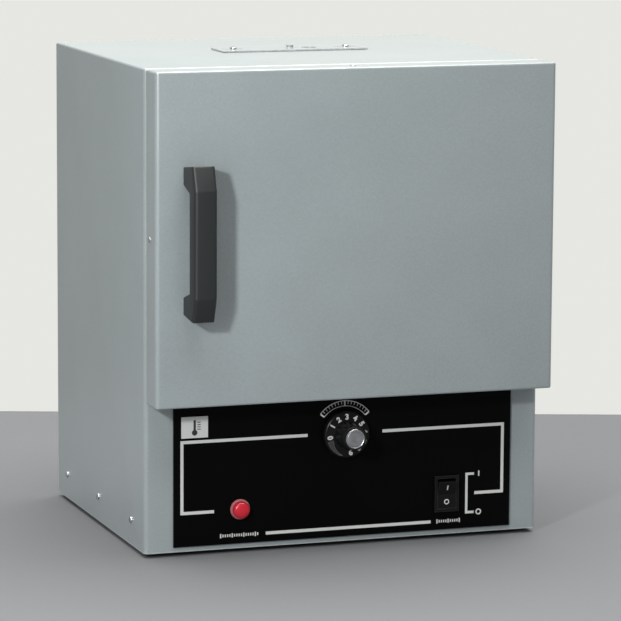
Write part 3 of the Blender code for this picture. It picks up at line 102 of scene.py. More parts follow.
# Landmarks of the frame
CASE_LOW, CASE_HIGH = box_of("outer_case")
DOOR_LOW, DOOR_HIGH = box_of("door_outer_pan")
INNER_HIGH = box_of("door_inner_pan")[1]
KNOB_LOW, KNOB_HIGH = box_of("dial_knob")
REAR_LOW, REAR_HIGH = box_of("rear_cover")
MIDDLE_X = (CASE_LOW.x + CASE_HIGH.x) / 2
BASE_Z = CASE_LOW.z
PANEL_Y = box_of("control_panel")[0].y
FORWARD = (0, -1, 0)
DIAL_X = (KNOB_LOW.x + KNOB_HIGH.x) / 2
DIAL_Z = (KNOB_LOW.z + KNOB_HIGH.z) / 2


# Materials


def node(tree, kind, **values):
    """A shader node with its properties, or the defaults of its named inputs, set."""
    made = tree.nodes.new(kind)
    for name, value in values.items():
        if name in made.inputs:
            made.inputs[name].default_value = value
        else:
            setattr(made, name, value)
    return made


def noise_on(tree, scale, stretch=(1, 1, 1), detail=3.0):
    """Noise in the frame's metres, drawn out along an axis where its stretch is small."""
    place = node(tree, "ShaderNodeTexCoord")
    mapping = node(tree, "ShaderNodeMapping", Scale=stretch)
    noise = node(tree, "ShaderNodeTexNoise", Scale=scale, Detail=detail)
    tree.links.new(place.outputs["Object"], mapping.inputs["Vector"])
    tree.links.new(mapping.outputs["Vector"], noise.inputs["Vector"])
    return noise.outputs["Fac"]


def ramp_between(tree, factor, low, high):
    ramp = tree.nodes.new("ShaderNodeValToRGB")
    ramp.color_ramp.elements[0].position = 0.3
    ramp.color_ramp.elements[1].position = 0.7
    ramp.color_ramp.elements[0].color = (*low, 1)
    ramp.color_ramp.elements[1].color = (*high, 1)
    tree.links.new(factor, ramp.inputs["Fac"])
    return ramp.outputs["Color"]


def edge_wear_and_highlight(tree, radius):
    """Where edges are lightened, as wear and as a painted highlight: near one at the sharp edges, broken up
    by noise, and zero on flat faces.
    """
    bevel = node(tree, "ShaderNodeBevel", samples=4, Radius=radius)
    plain = tree.nodes.new("ShaderNodeNewGeometry")
    dot = node(tree, "ShaderNodeVectorMath", operation="DOT_PRODUCT")
    tree.links.new(bevel.outputs["Normal"], dot.inputs[0])
    tree.links.new(plain.outputs["Normal"], dot.inputs[1])
    spread = node(tree, "ShaderNodeMapRange")
    spread.inputs["From Min"].default_value = 0.995
    spread.inputs["From Max"].default_value = 0.86
    tree.links.new(dot.outputs["Value"], spread.inputs["Value"])
    patchy = node(tree, "ShaderNodeMapRange")
    patchy.inputs["From Min"].default_value = 0.3
    patchy.inputs["From Max"].default_value = 0.6
    patchy.inputs["To Min"].default_value = 0.4
    tree.links.new(noise_on(tree, 260.0), patchy.inputs["Value"])
    worn_and_highlit = node(tree, "ShaderNodeMath", operation="MULTIPLY")
    tree.links.new(spread.outputs["Result"], worn_and_highlit.inputs[0])
    tree.links.new(patchy.outputs["Result"], worn_and_highlit.inputs[1])
    return worn_and_highlit.outputs[0]


def finish(name, colour, roughness, metallic=0.0, fleck=900.0, mottle=0.06, cloud=9.0, cloud_share=0.5,
           stretch=(1, 1, 1), relief=0.0, relief_scale=600.0, relief_depth=0.05 * MM, swing=0.06, wear_and_highlight=0.25,
           wear_and_highlight_radius=0.9 * MM, **sockets):
    """A node material: flecked and clouded, lighter along its edges as wear and as a painted highlight, with
    uneven gloss and fine relief.
    """
    material = bpy.data.materials.new(name)
    material.use_nodes = True
    tree = material.node_tree
    shader = tree.nodes["Principled BSDF"]
    shader.inputs["Metallic"].default_value = metallic
    for socket, value in sockets.items():
        shader.inputs[socket.replace("_", " ")].default_value = value
    flecks = noise_on(tree, fleck, stretch)
    clouds = noise_on(tree, cloud, detail=2.0)
    mix = node(tree, "ShaderNodeMix", data_type="FLOAT")
    mix.inputs[0].default_value = cloud_share
    tree.links.new(flecks, mix.inputs[2])
    tree.links.new(clouds, mix.inputs[3])
    low = [max(c * (1 - mottle), 0) for c in colour]
    high = [min(c * (1 + mottle), 1) for c in colour]
    # The edge colour is lighter than the paint: part wear, part painted highlight
    rubbed_and_highlit = node(tree, "ShaderNodeMix", data_type="RGBA")
    rubbed_and_highlit.inputs[7].default_value = (*[min(c + wear_and_highlight * (1.1 - c), 1) for c in colour], 1)
    tree.links.new(edge_wear_and_highlight(tree, wear_and_highlight_radius), rubbed_and_highlit.inputs[0])
    tree.links.new(ramp_between(tree, mix.outputs[0], low, high), rubbed_and_highlit.inputs[6])
    tree.links.new(rubbed_and_highlit.outputs[2], shader.inputs["Base Color"])
    spread = node(tree, "ShaderNodeMapRange")
    spread.inputs["To Min"].default_value = max(roughness - swing, 0.02)
    spread.inputs["To Max"].default_value = min(roughness + swing, 1)
    tree.links.new(flecks, spread.inputs["Value"])
    tree.links.new(spread.outputs["Result"], shader.inputs["Roughness"])
    if relief:
        bump = node(tree, "ShaderNodeBump", Strength=relief, Distance=relief_depth)
        tree.links.new(noise_on(tree, relief_scale, stretch), bump.inputs["Height"])
        tree.links.new(bump.outputs["Normal"], shader.inputs["Normal"])
    return material


def spun_metal(name, colour, centre, pitch):
    """Metal turned on a lathe: rings about an axis along Y through centre."""
    material = finish(name, colour, 0.3, metallic=1.0, fleck=500.0, mottle=0.05)
    tree = material.node_tree
    shader = tree.nodes["Principled BSDF"]
    place = node(tree, "ShaderNodeTexCoord")
    mapping = node(tree, "ShaderNodeMapping", Location=(-centre[0], 0, -centre[2]))
    wave = node(tree, "ShaderNodeTexWave", wave_type="RINGS", rings_direction="Y", Scale=1 / pitch,
                Distortion=0.4)
    bump = node(tree, "ShaderNodeBump", Strength=0.35, Distance=0.03 * MM)
    tree.links.new(place.outputs["Object"], mapping.inputs["Vector"])
    tree.links.new(mapping.outputs["Vector"], wave.inputs["Vector"])
    tree.links.new(wave.outputs["Fac"], bump.inputs["Height"])
    tree.links.new(bump.outputs["Normal"], shader.inputs["Normal"])
    return material


GREY = (0.278, 0.318, 0.328)
STEEL = (0.56, 0.57, 0.58)
MATERIALS = {
    # The enamel's strong edge lightening is mostly a painted highlight along its folds, with some wear
    "grey_paint": finish("grey_enamel", GREY, 0.40, fleck=620, mottle=0.08, cloud=14, cloud_share=0.35,
                         relief=0.25, relief_scale=520, wear_and_highlight=0.5, wear_and_highlight_radius=1.8 * MM, Coat_Weight=1.0,
                         Coat_Roughness=0.25, Coat_IOR=1.55),
    "black_panel": finish("panel_black", (0.0012, 0.0014, 0.0013), 0.40, fleck=1400, mottle=0.3, relief=0.1,
                          wear_and_highlight=0.02, Specular_IOR_Level=0.06),
    "black_plastic": finish("moulded_black", (0.012, 0.0145, 0.015), 0.50, fleck=1800, mottle=0.2, relief=0.4,
                            relief_scale=2200, relief_depth=0.03 * MM, wear_and_highlight=0.05, Specular_IOR_Level=0.5),
    "gloss_black": finish("dial_black", (0.0035, 0.004, 0.004), 0.30, fleck=1800, mottle=0.2, relief=0.2,
                          relief_scale=2200, relief_depth=0.02 * MM, wear_and_highlight=0.03, Specular_IOR_Level=0.22),
    "stainless": finish("brushed_stainless", STEEL, 0.28, 1.0, fleck=260, mottle=0.07, stretch=(0.06, 1, 9),
                        swing=0.10, relief=0.12, relief_scale=260, relief_depth=0.02 * MM),
    "bright_steel": finish("screw_steel", (0.66, 0.67, 0.68), 0.22, 1.0, fleck=900, mottle=0.05),
    "zinc_steel": finish("zinc_plate", (0.50, 0.52, 0.53), 0.42, 1.0, fleck=160, mottle=0.12, swing=0.12),
    "element_sheath": finish("element_sheath", (0.13, 0.115, 0.105), 0.5, 1.0, fleck=240, mottle=0.35,
                             swing=0.15),
    "mineral_wool": finish("mineral_wool", (0.56, 0.50, 0.34), 0.95, fleck=420, mottle=0.3,
                           stretch=(1, 0.2, 1), relief=0.9, relief_scale=420, relief_depth=0.6 * MM),
    "silicone": finish("silicone_red", (0.47, 0.13, 0.08), 0.55, fleck=700, mottle=0.12, relief=0.15,
                       relief_scale=900),
    "lamp_rim": finish("lamp_rim", (0.36, 0.10, 0.11), 0.3, fleck=900, mottle=0.06),
    "red_lens": finish("red_lens", (0.66, 0.020, 0.042), 0.22, fleck=600, mottle=0.12, wear_and_highlight=0.05,
                       Transmission_Weight=0.2),
    "foot_rubber": finish("foot_rubber", (0.026, 0.026, 0.027), 0.8, fleck=700, mottle=0.3, relief=0.4,
                          relief_scale=900),
    "magnet": finish("ferrite", (0.06, 0.06, 0.065), 0.6, fleck=800, mottle=0.3, relief=0.3,
                     relief_scale=1200),
    "copper": finish("dull_copper", (0.48, 0.25, 0.15), 0.38, 1.0, fleck=200, mottle=0.25),
    "brass": finish("dull_brass", (0.56, 0.43, 0.19), 0.36, 1.0, fleck=240, mottle=0.16),
    "lead_sleeve": finish("glass_sleeve", (0.62, 0.60, 0.54), 0.75, fleck=1500, mottle=0.15, relief=0.7,
                          relief_scale=2600, relief_depth=0.1 * MM),
    "silver_cap": spun_metal("spun_aluminium", (0.42, 0.43, 0.45), (DIAL_X, 0, DIAL_Z), 0.9 * MM),
    "print_white": finish("print_white", (0.58, 0.60, 0.58), 0.5, fleck=900, mottle=0.05),
    "dial_arc_grey": finish("dial_arc_grey", (0.035, 0.037, 0.037), 0.5, fleck=900, mottle=0.1),
    "print_black": finish("print_black", (0.02, 0.02, 0.02), 0.5, fleck=900, mottle=0.2),
}

# Nodes that keep their CAD shape, by finish
KEPT = {
    "grey_paint": ["rear_cover"],
    "stainless": ["chamber_liner", "chamber_back", "chamber_floor", "shelf_runner_left", "shelf_runner_right",
                  "shelf_lower", "shelf_upper", "door_inner_pan", "vent_tube", "sensor_clip", "dial_shaft"],
    "bright_steel": ["handle_screw_lower", "handle_screw_upper"],
    "zinc_steel": ["base_pan", "bay_plate", "thermostat_body", "catch_strike", "hinge_lower_case_leaf",
                   "hinge_lower_door_leaf", "hinge_lower_pin", "hinge_upper_case_leaf",
                   "hinge_upper_door_leaf", "hinge_upper_pin"],
    "black_panel": ["control_panel"],
    "gloss_black": ["switch_housing", "rocker_button"],
    "black_plastic": ["inlet_socket"],
    "element_sheath": ["heating_element"],
    "foot_rubber": ["foot_front_left", "foot_front_right", "foot_rear_left", "foot_rear_right"],
    "magnet": ["catch_magnet"],
    "copper": ["sensor_bulb", "capillary_tube"],
    "brass": ["element_flange", "inlet_pin_left", "inlet_pin_right", "inlet_pin_earth"],
    "lead_sleeve": ["element_lead"],
    "mineral_wool": ["insulation_wrap", "door_insulation"],
    "silicone": ["door_seal"],
}


def dress_kept_nodes():
    for look, names in KEPT.items():
        for name in names:
            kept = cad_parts[name]
            kept.data.materials.clear()
            kept.data.materials.append(MATERIALS[look])


# Shape helpers


def shade(mesh):
    mesh.shade_smooth()
    mesh.set_sharp_from_angle(angle=SMOOTH_ANGLE)


def piece(name, bm, look, body, stands_for=()):
    """An object made of bm's mesh, in its finish, riding on its body."""
    mesh = bpy.data.meshes.new(name)
    bm.to_mesh(mesh)
    bm.free()
    shade(mesh)
    made = bpy.data.objects.new(name, mesh)
    bpy.context.scene.collection.objects.link(made)
    mesh.materials.append(MATERIALS[look])
    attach(made, body)
    if stands_for:
        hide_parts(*stands_for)
    return made


def baked(made):
    """Works the object's modifiers into its mesh."""
    bpy.context.view_layer.update()
    evaluated = made.evaluated_get(bpy.context.evaluated_depsgraph_get())
    mesh = bpy.data.meshes.new_from_object(evaluated)
    made.modifiers.clear()
    made.data = mesh
    shade(mesh)


def bevel(made, width, segments):
    modifier = made.modifiers.new("edges", "BEVEL")
    modifier.width = width
    modifier.segments = segments
    modifier.limit_method = "ANGLE"
    modifier.angle_limit = math.radians(30)
    return modifier


def weigh_edges(bm, share):
    """Sets how much of the bevel each edge takes. share gives it from the edge's two ends."""
    weights = bm.edges.layers.float.new("bevel_weight_edge")
    for edge in bm.edges:
        edge[weights] = share(edge.verts[0].co, edge.verts[1].co) if not edge.is_boundary else 0


def cut_with(made, cutters):
    """Takes boxes and drums, given as one bmesh, out of the object."""
    mesh = bpy.data.meshes.new("cutter")
    cutters.to_mesh(mesh)
    cutters.free()
    tool = bpy.data.objects.new("cutter", mesh)
    bpy.context.scene.collection.objects.link(tool)
    modifier = made.modifiers.new("cut", "BOOLEAN")
    modifier.operation = "DIFFERENCE"
    modifier.solver = "EXACT"
    modifier.object = tool
    baked(made)
    bpy.data.objects.remove(tool, do_unlink=True)


def add_box(bm, low, high):
    low, high = Vector(low), Vector(high)
    matrix = Matrix.Translation((low + high) / 2) @ Matrix.Diagonal((*(high - low), 1))
    bmesh.ops.create_cube(bm, size=1, matrix=matrix)


def facing(direction):
    """A rotation that lays +Z along the direction, with X kept level."""
    return Vector(direction).to_track_quat("Z", "Y").to_matrix().to_4x4()


def add_drum(bm, centre, radius, length, direction, steps=SCREW_STEPS):
    matrix = Matrix.Translation(centre) @ facing(direction)
    bmesh.ops.create_cone(bm, cap_ends=True, segments=steps, radius1=radius, radius2=radius, depth=length,
                          matrix=matrix)


def add_turned(bm, profile, place, direction, steps=TURN_STEPS, flute=None):
    """A (radius, height) profile turned about the direction through place. flute swells it by angle."""
    matrix = Matrix.Translation(place) @ facing(direction)
    rings = []
    for radius, height in profile:
        if radius == 0:
            rings.append([bm.verts.new(matrix @ Vector((0, 0, height)))])
            continue
        ring = []
        for step in range(steps):
            angle = 2 * math.pi * step / steps
            reach = radius * (flute(angle) if flute else 1)
            spot = Vector((reach * math.cos(angle), reach * math.sin(angle), height))
            ring.append(bm.verts.new(matrix @ spot))
        rings.append(ring)
    for upper, lower in zip(rings, rings[1:]):
        for step in range(steps):
            follow = (step + 1) % steps
            quad = [upper[step % len(upper)], lower[step % len(lower)], lower[follow % len(lower)],
                    upper[follow % len(upper)]]
            kept = list(dict.fromkeys(quad))
            if len(kept) > 2:
                bm.faces.new(kept)
    bmesh.ops.recalc_face_normals(bm, faces=bm.faces)


def thicken(bm, face, along):
    """Grows a lone face into a closed slab."""
    grown = bmesh.ops.extrude_face_region(bm, geom=[face])["geom"]
    bmesh.ops.translate(bm, verts=[v for v in grown if isinstance(v, bmesh.types.BMVert)], vec=along)
    bmesh.ops.recalc_face_normals(bm, faces=bm.faces)


def arc_points(radius, start, end, steps):
    """Points (x, up) on an arc, its angles clockwise from the top."""
    span = [start + (end - start) * i / steps for i in range(steps + 1)]
    return [(radius * math.sin(a), radius * math.cos(a)) for a in span]


def moved(points, along, up):
    return [(along + x, up + z) for x, z in points]


def dome_profile(radius, foot, rise, shoulder, steps):
    """(radius, height) points from a dome's crown to its rim, at the shoulder share of its rise."""
    angles = [math.pi / 2 * i / steps for i in range(1, steps + 1)]
    side = [(radius * math.sin(a), foot + rise * (shoulder + (1 - shoulder) * math.cos(a))) for a in angles]
    return [(0, foot + rise)] + side


# The case and the door's skin


SHEET = 1.2 * MM
HANDLE_SCREWS = ("handle_screw_lower", "handle_screw_upper")
HANDLE_HOLE = 2.3 * MM
SCREW_HOLE = 1.8 * MM
BEND = 4 * MM
LEVEL_BEND = 2 * MM


def folded_shell(name, low, high, open_sides, body, stands_for):
    """A painted sheet shell with fine folds. open_sides are (axis, sign) of the sides left off."""
    bm = bmesh.new()
    add_box(bm, low, high)
    bm.normal_update()
    gone = [f for f in bm.faces if any(f.normal[axis] * sign > 0.5 for axis, sign in open_sides)]
    bmesh.ops.delete(bm, geom=gone, context="FACES")
    weigh_edges(bm, lambda a, b: 1 if abs(a.z - b.z) > BEND else LEVEL_BEND / BEND)
    made = piece(name, bm, "grey_paint", body, stands_for)
    bevel(made, BEND, 6).limit_method = "WEIGHT"
    modifier = made.modifiers.new("sheet", "SOLIDIFY")
    modifier.thickness = SHEET
    modifier.offset = -1
    modifier.use_even_offset = True
    return made


def make_case():
    shell = folded_shell("case_shell", CASE_LOW, CASE_HIGH, ((2, -1), (1, 1)), "cabinet", ["outer_case"])
    reach = 8 * MM
    liner_low, liner_high = box_of("chamber_liner")
    rim, bay_side, bay_foot, bay_top = 11 * MM, 140 * MM, 12 * MM, 114 * MM
    vent_hole, magnet_gap, across = 7 * MM, 0.3 * MM, CASE_HIGH.x - CASE_LOW.x + reach
    tools = bmesh.new()
    add_box(tools, (liner_low.x + rim, CASE_LOW.y - reach, liner_low.z + rim),
            (liner_high.x - rim, CASE_LOW.y + reach, liner_high.z - rim))
    add_box(tools, (MIDDLE_X - bay_side, CASE_LOW.y - reach, BASE_Z + bay_foot),
            (MIDDLE_X + bay_side, CASE_LOW.y + reach, BASE_Z + bay_top))
    magnet_low, magnet_high = box_of("catch_magnet")
    gap = Vector((magnet_gap, reach, magnet_gap))
    add_box(tools, magnet_low - gap, magnet_high + gap)
    centre = middle_of("vent_tube")
    add_drum(tools, (centre.x, centre.y, CASE_HIGH.z), vent_hole, reach, (0, 0, 1), 48)
    for name in ("slide_screw_left", "slide_screw_right"):
        centre = middle_of(name)
        add_drum(tools, (centre.x, centre.y, CASE_HIGH.z), SCREW_HOLE, reach, (0, 0, 1))
    for number in (1, 2, 3):
        centre = middle_of(f"side_screw_left_{number}")
        add_drum(tools, (MIDDLE_X, centre.y, centre.z), SCREW_HOLE, across, (1, 0, 0))
    cut_with(shell, tools)


def make_door_skin():
    """The door's painted pan, with a return set back where it meets the case."""
    inset, step, hole_length = 1.4 * MM, 4.5 * MM, 8 * MM
    skin = folded_shell("door_skin", DOOR_LOW, DOOR_HIGH - Vector((0, step, 0)), ((1, 1),), "door",
                        ["door_outer_pan"])
    low = Vector((DOOR_LOW.x + inset, DOOR_HIGH.y - 2 * step, DOOR_LOW.z + inset))
    high = Vector((DOOR_HIGH.x - inset, DOOR_HIGH.y, DOOR_HIGH.z - inset))
    baked(folded_shell("door_return", low, high, ((1, 1), (1, -1)), "door", ["door_outer_pan"]))
    tools = bmesh.new()
    for name in HANDLE_SCREWS:
        centre = middle_of(name)
        add_drum(tools, (centre.x, DOOR_LOW.y, centre.z), HANDLE_HOLE, hole_length, (0, 1, 0))
    cut_with(skin, tools)


def make_door_relief():
    """The pressed field in the middle of the door's inner pan."""
    seal_low, seal_high = box_of("door_seal")
    inset, rise, sink, soft_edge = 26 * MM, 1.6 * MM, 0.2 * MM, 1.5 * MM
    bm = bmesh.new()
    add_box(bm, (seal_low.x + inset, INNER_HIGH.y - sink, seal_low.z + inset),
            (seal_high.x - inset, INNER_HIGH.y + rise, seal_high.z - inset))
    field = piece("door_inner_relief", bm, "stainless", "door")
    bevel(field, soft_edge, 4)
    baked(field)


def make_vent_plate():
    """The vent slide's own sheet, its flat faces joined up for shading."""
    weld, flat = 0.01 * MM, math.radians(1)
    bm = bmesh.new()
    bm.from_mesh(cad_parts["vent_slide"].data)
    bmesh.ops.remove_doubles(bm, verts=bm.verts, dist=weld)
    bmesh.ops.dissolve_limit(bm, angle_limit=flat, verts=bm.verts, edges=bm.edges)
    piece("vent_plate", bm, "grey_paint", "vent", ["vent_slide"])


# Handle


def make_handle():
    """The bridge handle: its side view swept across, with soft edges."""
    low, high = box_of("door_handle")
    middle = (low.z + high.z) / 2
    foot, front = high.y, low.y
    reach = foot - front
    half = (high.z - low.z) / 2 + 0.4 * MM
    foot_outside, foot_inside, brow, grip_end = 62.8 * MM, 47.5 * MM, 26.4 * MM, 45.4 * MM
    bridge_depth, bridge_end = 17.5 * MM, 42 * MM
    outer = [(0, foot_outside), (brow, half), (reach, grip_end)]
    inner = [(bridge_depth, bridge_end), (0, foot_inside)]
    outline = outer + [(out, -up) for out, up in reversed(outer)]
    outline += [(out, -up) for out, up in reversed(inner)] + inner
    bm = bmesh.new()
    left = [bm.verts.new((low.x, foot - out, middle + up)) for out, up in outline]
    thicken(bm, bm.faces.new(left), (high.x - low.x, 0, 0))
    front_depth, end_share, soft_edge = 12 * MM, 0.35, 3.2 * MM

    def edge_share(a, b):
        return 1 if abs(a.x - b.x) < MM and max(a.y, b.y) < front + front_depth else end_share

    weigh_edges(bm, edge_share)
    handle = piece("bridge_handle", bm, "black_plastic", "door", ["door_handle"])
    bevel(handle, soft_edge, 5).limit_method = "WEIGHT"
    baked(handle)
    hole_depth, hole_length = 6.2 * MM, 12.6 * MM
    tools = bmesh.new()
    for name in HANDLE_SCREWS:
        centre = middle_of(name)
        add_drum(tools, (centre.x, foot - hole_depth, centre.z), HANDLE_HOLE, hole_length, (0, 1, 0))
    cut_with(handle, tools)


# Printed panel


LINE = 2.7 * MM
FRAME_X = 148 * MM
FRAME_TOP = 96.1 * MM


def panel_print(name, look, build):
    """A thin print on the panel. build adds boxes or faces in (x, up) from the panel's middle and base."""
    bm = bmesh.new()
    build(bm)
    piece(name, bm, look, "cabinet")


def add_bar(bm, x0, x1, up0, up1):
    """A printed bar between two x and two heights over the base edge."""
    front = PANEL_Y - PRINT_LIFT - PRINT_DEPTH
    add_box(bm, (MIDDLE_X + x0, front, BASE_Z + up0), (MIDDLE_X + x1, PANEL_Y - PRINT_LIFT, BASE_Z + up1))


def add_plate(bm, outline, depth_y=None):
    """A flat printed shape from an outline of (x, up)."""
    front = PANEL_Y - PRINT_LIFT - PRINT_DEPTH if depth_y is None else depth_y
    verts = [bm.verts.new((MIDDLE_X + x, front, BASE_Z + up)) for x, up in outline]
    thicken(bm, bm.faces.new(verts), (0, PRINT_DEPTH, 0))


def add_arc(bm, centre, inner, outer, start, end, steps=40):
    """A printed arc band about (x, up), its angles clockwise from the top."""
    outline = arc_points(outer, start, end, steps) + arc_points(inner, start, end, steps)[::-1]
    add_plate(bm, moved(outline, *centre))


def print_frames(bm):
    """The frame lines at the panel's left and right, and the line along its foot."""
    left_low, right_low, foot_up = 34 * MM, 35.7 * MM, 12 * MM
    left_end, right_start = -34 * MM, 35 * MM
    left_tail, right_tail = -119 * MM, 122 * MM
    foot_start, foot_end = -72 * MM, 81 * MM
    half = LINE / 2
    add_bar(bm, -FRAME_X - half, left_end, FRAME_TOP - half, FRAME_TOP + half)
    add_bar(bm, -FRAME_X - half, -FRAME_X + half, left_low - half, FRAME_TOP - half)
    add_bar(bm, -FRAME_X + half, left_tail, left_low - half, left_low + half)
    add_bar(bm, right_start, FRAME_X + half, FRAME_TOP - half, FRAME_TOP + half)
    add_bar(bm, FRAME_X - half, FRAME_X + half, right_low - half, FRAME_TOP - half)
    add_bar(bm, right_tail, FRAME_X - half, right_low - half, right_low + half)
    add_bar(bm, foot_start, foot_end, foot_up - half, foot_up + half)


def print_bracket(bm):
    """The bracket beside the switch, with a bar at its upper end and a ring at its lower end."""
    left, right, low, high, half = 114.5 * MM, 121.5 * MM, 18.5 * MM, 53 * MM, 1.1 * MM
    mark, mark_half, mark_reach = 126 * MM, 0.6 * MM, 2.4 * MM
    ring_inner, ring_outer = 1.6 * MM, 2.7 * MM
    add_bar(bm, left - half, left + half, low - half, high + half)
    add_bar(bm, left + half, right, high - half, high + half)
    add_bar(bm, left + half, right, low - half, low + half)
    add_bar(bm, mark - mark_half, mark + mark_half, high - mark_reach, high + mark_reach)
    for start, end in ((0, 179.9), (180, 359.9)):
        add_arc(bm, (mark, low), ring_inner, ring_outer, math.radians(start), math.radians(end), 16)


def print_ticks(bm):
    """Plain rows of ticks under the lamp and under the switch."""
    up, pitch, width, tall, short = 12 * MM, 2.1 * MM, 1.1 * MM, 1.9 * MM, 1.2 * MM
    for start, end in ((-113 * MM, -79 * MM), (87 * MM, 108 * MM)):
        for i in range(round((end - start) / pitch) + 1):
            height = tall if i % 5 == 0 else short
            x = start + i * pitch
            add_bar(bm, x - width / 2, x + width / 2, up - height, up + height)


def print_scale(bm):
    """The arc over the dial: two lines with ticks between, longer at its ends and its top."""
    centre = (0, DIAL_Z - BASE_Z)
    reach, ticks = math.radians(51), 16
    outer, outer_edge, inner, inner_edge, short_foot = 28.5 * MM, 29.2 * MM, 24 * MM, 24.5 * MM, 26 * MM
    add_arc(bm, centre, outer, outer_edge, -reach, reach)
    add_arc(bm, centre, inner, inner_edge, -reach, reach)
    for i in range(ticks + 1):
        angle = -reach + 2 * reach * i / ticks
        foot, half = (inner_edge, math.radians(1.5)) if i % 8 == 0 else (short_foot, math.radians(0.55))
        add_arc(bm, centre, foot, outer, angle - half, angle + half, 2)


def print_plate(bm):
    left, right, low, high = -148.6 * MM, -124.6 * MM, 99.6 * MM, 118.2 * MM
    add_bar(bm, left, right, low, high)


def print_thermometer(bm):
    """A plain thermometer sign on the white plate."""
    middle, low, high = -136.6 * MM, 104.2 * MM, 115.4 * MM
    lift = PANEL_Y - 2 * PRINT_LIFT - 2 * PRINT_DEPTH
    stem, bulb = 1.1 * MM, 2.5 * MM
    around = arc_points(bulb, math.radians(26), math.radians(334), 24)
    top = arc_points(stem, -math.pi / 2, math.pi / 2, 8)
    add_plate(bm, moved(around, middle, low) + moved(top, middle, high - stem), lift)
    start, end, half, first, pitch = 2.4 * MM, 5.4 * MM, 0.4 * MM, 2.2 * MM, 2 * MM
    for i in range(4):
        mark = [(start, -half), (end, -half), (end, half), (start, half)]
        add_plate(bm, moved(mark, middle, high - first - i * pitch), lift)


def make_prints():
    panel_print("print_frame_lines", "print_white", print_frames)
    panel_print("print_switch_bracket", "print_white", print_bracket)
    panel_print("print_tick_rows", "print_white", print_ticks)
    panel_print("print_dial_arc", "print_white", print_scale)
    panel_print("print_white_plate", "print_white", print_plate)
    panel_print("print_thermometer_sign", "print_black", print_thermometer)


# Dial


SKIRT_FACE = 7.6 * MM
NUMBER_RADIUS = 15.7 * MM
NUMBER_SIZE = 6.6 * MM
NUMBER_WEIGHT_SHARE = 0.045
FIRST_NUMBER = math.radians(-59)
NUMBER_STEP = math.radians(28.5)
ZERO_TURN = math.radians(-97)
DIAL_PLACE = (DIAL_X, PANEL_Y, DIAL_Z)
DIAL_FACE = PANEL_Y - SKIRT_FACE
FLUTES = 24
FLUTE_DEPTH = 0.035
RIBS = 24
RIB_DEPTH = 0.018


def text_mesh(body, size, thickness):
    """The mesh of a short text, centred, standing up in XZ and facing -Y."""
    curve = bpy.data.curves.new("text", "FONT")
    curve.body = body
    curve.size = size
    curve.extrude = thickness / 2
    curve.offset = size * NUMBER_WEIGHT_SHARE
    curve.align_x = "CENTER"
    curve.align_y = "CENTER"
    holder = bpy.data.objects.new("text", curve)
    bpy.context.scene.collection.objects.link(holder)
    bpy.context.view_layer.update()
    mesh = bpy.data.meshes.new_from_object(holder.evaluated_get(bpy.context.evaluated_depsgraph_get()))
    bpy.data.objects.remove(holder, do_unlink=True)
    mesh.transform(Matrix.Rotation(math.pi / 2, 4, "X"))
    return mesh


def fluted(angle):
    return 1 - FLUTE_DEPTH * (0.5 + 0.5 * math.cos(FLUTES * angle)) ** 2


def make_skirt():
    """The knob's skirt, sunk where the grip stands on it, with a low collar round the grip."""
    radius, back = (KNOB_HIGH.x - KNOB_LOW.x) / 2, PANEL_Y - KNOB_HIGH.y
    bore, hub, collar, collar_foot = 3.3 * MM, 11 * MM, 12.6 * MM, 12.9 * MM
    hub_face, collar_rise = 6 * MM, 0.2 * MM
    brow, brim, brow_drop, brim_drop, chamfer = 1.5 * MM, 0.6 * MM, 0.35 * MM, 1.2 * MM, 0.5 * MM
    profile = [(bore, hub_face), (hub, hub_face), (hub, SKIRT_FACE + collar_rise),
               (collar, SKIRT_FACE + collar_rise), (collar_foot, SKIRT_FACE), (radius - brow, SKIRT_FACE),
               (radius - brim, SKIRT_FACE - brow_drop), (radius, SKIRT_FACE - brim_drop),
               (radius, back + chamfer), (radius - chamfer, back), (bore, back), (bore, hub_face)]
    bm = bmesh.new()
    add_turned(bm, profile, DIAL_PLACE, FORWARD)
    piece("dial_skirt", bm, "gloss_black", "dial", ["dial_knob"])


def make_grip():
    """The fluted grip, and a plain rim round the seat of its bright cap."""
    top, steps = PANEL_Y - KNOB_LOW.y, 192
    root, foot, flank = 10.8 * MM, 12 * MM, 11.7 * MM
    root_sink, foot_rise, flank_rise = 0.8 * MM, 0.4 * MM, 3 * MM
    seat, lip, crest, brow = 8.9 * MM, 9.2 * MM, 9.6 * MM, 10 * MM
    seat_drop, lip_drop, brow_drop = 1.2 * MM, 0.2 * MM, 0.5 * MM
    rim_end, shoulder = (10.1 * MM, top - 1.6 * MM), (10.3 * MM, top - 1.8 * MM)
    side = [shoulder, (flank, SKIRT_FACE + flank_rise), (foot, SKIRT_FACE + foot_rise),
            (root, SKIRT_FACE - root_sink)]
    rim = [(0, top - seat_drop), (seat, top - seat_drop), (seat, top - lip_drop), (lip, top), (crest, top),
           (brow, top - brow_drop), rim_end]
    bm = bmesh.new()
    add_turned(bm, side, DIAL_PLACE, FORWARD, steps, fluted)
    add_turned(bm, rim, DIAL_PLACE, FORWARD, steps)
    add_turned(bm, [rim_end, shoulder], DIAL_PLACE, FORWARD, steps)
    piece("dial_grip", bm, "gloss_black", "dial", ["dial_knob"])


def make_cap():
    """The bright cap, with a dimple in its middle and a groove near its edge."""
    cap_low, cap_high = box_of("dial_cap")
    reach, height, low = (cap_high.x - cap_low.x) / 2, cap_high.y - cap_low.y, PANEL_Y - cap_high.y
    dimple, dimple_edge = 2 * MM, 2.3 * MM
    groove_start, groove, groove_end, edge = 6.9 * MM, 7.3 * MM, 7.7 * MM, 0.4 * MM
    profile = [(0, 0.86), (dimple, 0.86), (dimple_edge, 0.98), (groove_start, 1), (groove, 0.82),
               (groove_end, 1), (reach - edge, 0.95), (reach, 0.6), (reach, 0), (0, 0)]
    bm = bmesh.new()
    add_turned(bm, [(radius, low + height * share) for radius, share in profile], DIAL_PLACE, FORWARD)
    piece("dial_bright_cap", bm, "silver_cap", "dial", ["dial_cap"])


